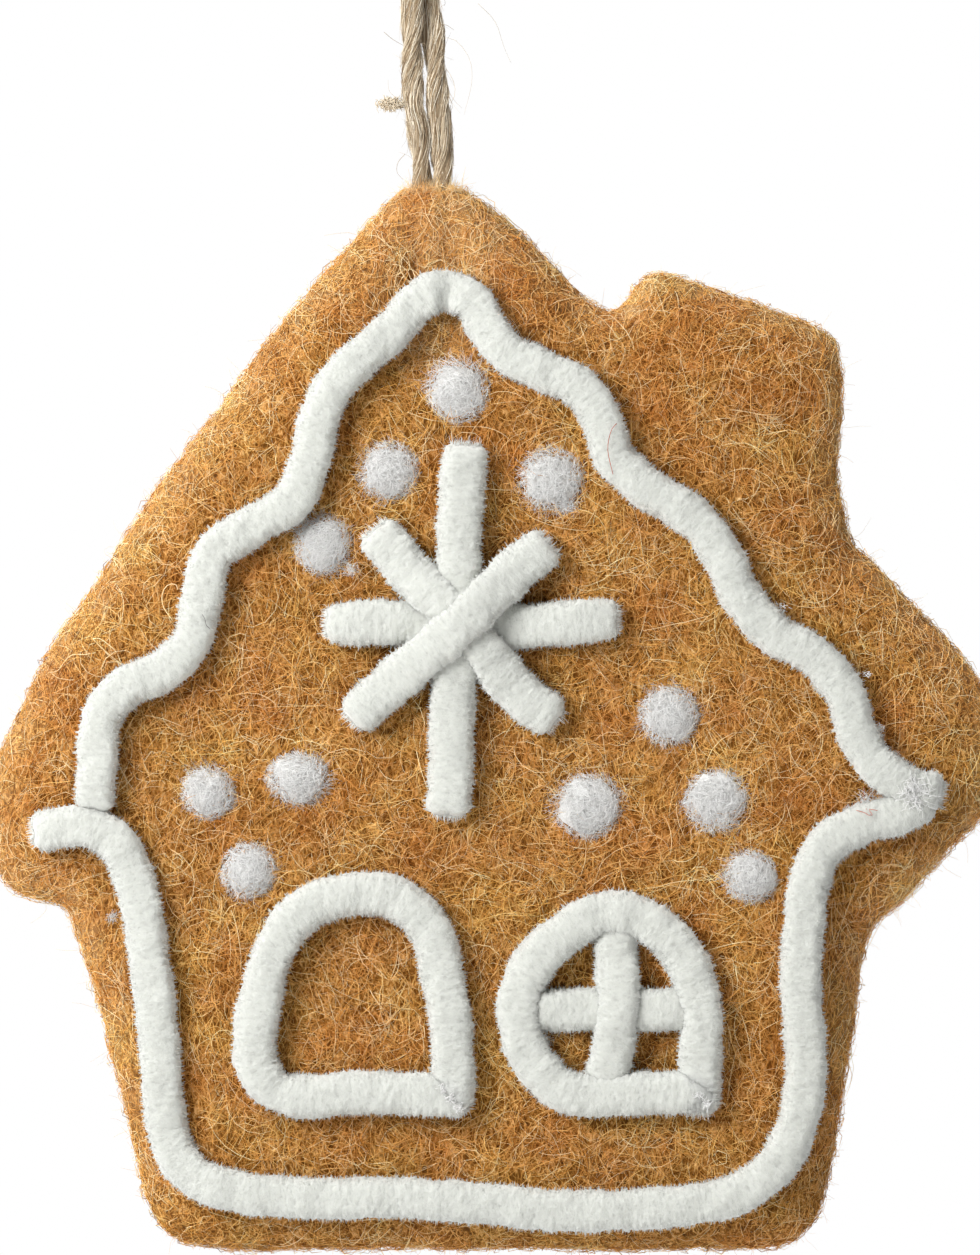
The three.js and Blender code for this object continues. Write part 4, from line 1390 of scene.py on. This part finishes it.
# %% Tails and knot
KNOT_RADIUS = 1.7 * MM
TAIL_OFFSET = 1.05 * MM
KNOT_SIDES = 14
KNOT_THICKNESS = 0.6
tail_top = slab_high.z - BURIED
tail_foot = slab_high.z - 12 * MM
knot_middle = tail_foot - 1.5 * MM
turns = np.linspace(0, 2 * math.pi, 25)[2:-2]
tail_heights = np.array([tail_top, tail_foot + 2 * MM])
knot_points = [np.array([LOOP_LEAN - TAIL_OFFSET, 0, height]) for height in tail_heights]
knot_points += [np.array([
    LOOP_LEAN + (np.sin(t) + 2 * np.sin(2 * t)) * KNOT_RADIUS / 2.6, np.sin(3 * t) * KNOT_RADIUS / 2.2,
    knot_middle + (np.cos(t) - 2 * np.cos(2 * t)) * KNOT_RADIUS / 2.6]) for t in turns]
knot_points += [np.array([LOOP_LEAN + TAIL_OFFSET, 0, height]) for height in tail_heights[::-1]]
knot_route = smooth_route(knot_points, 0.4 * MM)
knot = rolled_tube("twine_knot_buried", len(knot_route[0]), KNOT_SIDES,
                   two_ply(*knot_route, thickness=KNOT_THICKNESS))
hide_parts("twine_knot")
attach(knot, "house")
paint(knot, jute_finish)
print("knot lies", round((slab_high.z - knot_middle) / MM, 1), "mm below the peak")

# %% [markdown]
# ## Light and ground
# The key light is a round lamp half a metre away on the upper left. It meets the face at 45 degrees, so that
# every cord throws a shadow to its right and a little down. A broad sun adds soft light from the top and the
# world fills the rest. Camera rays see a plain white world, and the floor, well below, is mixed with white
# for them.

# %% Key light and top light
def aimed(name, data, place, direction):
    lamp = put_in_scene(name, data)
    lamp.location = place
    lamp.rotation_euler = direction.to_track_quat("-Z", "Y").to_euler()


KEY_DIRECTION = Vector((0.78, 0.9, -0.42)).normalized()
KEY_DISTANCE = 0.48
key = bpy.data.lights.new("key", "AREA")
key.shape = "DISK"
key.size = 0.24
key.energy = 2.45
house_middle = Vector((centre[0], 0, (slab_high.z + slab_low.z) / 2))
aimed("key", key, house_middle - KEY_DIRECTION * KEY_DISTANCE, KEY_DIRECTION)
top = bpy.data.lights.new("top", "SUN")
top.energy = 1.5
top.angle = math.radians(40)
TOP_DIRECTION = Vector((0.15, 0.34, -1))
aimed("top", top, (0, 0, 0), TOP_DIRECTION)
print("a key light and a top light")

# %% World that is white to the camera
SKY_FROM_ABOVE, SKY_FROM_LEFT, SKY_EVEN = 0.6, 0.35, 0.6
SKY_STRENGTH, SKY_LEAST = 1.08, 0.1
world = bpy.data.worlds.new("studio")
bpy.context.scene.world = world
world.use_nodes = True
tree = world.node_tree
tree.nodes.clear()
sky = Signal(tree)
path = tree.nodes.new("ShaderNodeLightPath")
direction = sky.node("ShaderNodeTexCoord", output="Generated")
across, behind, above = (
    direction.node("ShaderNodeSeparateXYZ", None, {"Vector": direction}, axis) for axis in "XYZ")
lean = above * SKY_FROM_ABOVE - across * SKY_FROM_LEFT + SKY_EVEN
level = behind.sum("MAXIMUM", behind, 0.0) * behind.sum("MAXIMUM", lean, 0.0) * SKY_STRENGTH + SKY_LEAST
fill = sky.node("ShaderNodeBackground", None, {"Color": (1, 1, 1, 1), "Strength": level})
white = sky.node("ShaderNodeBackground", None, {"Color": (1, 1, 1, 1), "Strength": 1.0})
seen = Signal(tree, path.outputs["Is Camera Ray"]) + Signal(tree, path.outputs["Is Glossy Ray"])
seen = seen + Signal(tree, path.outputs["Is Transmission Ray"])
shown = sky.node("ShaderNodeMixShader", None, {0: seen, 1: fill, 2: white})
sky.node("ShaderNodeOutputWorld", None, {"Surface": shown})

# %% Floor
FLOOR_DROP = 0.15
FLOOR_GLOW = 0.6
FLOOR_RADIUS = 1.4
ground_form = bmesh.new()
bmesh.ops.create_circle(ground_form, cap_ends=True, segments=64, radius=FLOOR_RADIUS)
bmesh.ops.translate(ground_form, verts=ground_form.verts, vec=(centre[0], 0, slab_low.z - FLOOR_DROP))
floor_mesh = bpy.data.meshes.new("floor")
ground_form.to_mesh(floor_mesh)
ground_form.free()
floor = put_in_scene("floor", floor_mesh)
floor_finish, shader, start = new_finish("floor_white", 0.9)
shader.inputs["Base Color"].default_value = (0.92, 0.92, 0.92, 1)
glow_share = start.node("ShaderNodeLightPath", output="Is Camera Ray") * FLOOR_GLOW
glow = start.node("ShaderNodeEmission", None, {"Color": (1, 1, 1, 1), "Strength": 1.0})
lit_floor = Signal(start.tree, shader.outputs[0])
floor_shown = start.node("ShaderNodeMixShader", None, {0: glow_share, 1: lit_floor, 2: glow})
start.tree.links.new(floor_shown.socket, start.tree.nodes["Material Output"].inputs["Surface"])
paint(floor, floor_finish)

bpy.context.scene.view_settings.view_transform = "Standard"
print("lit")
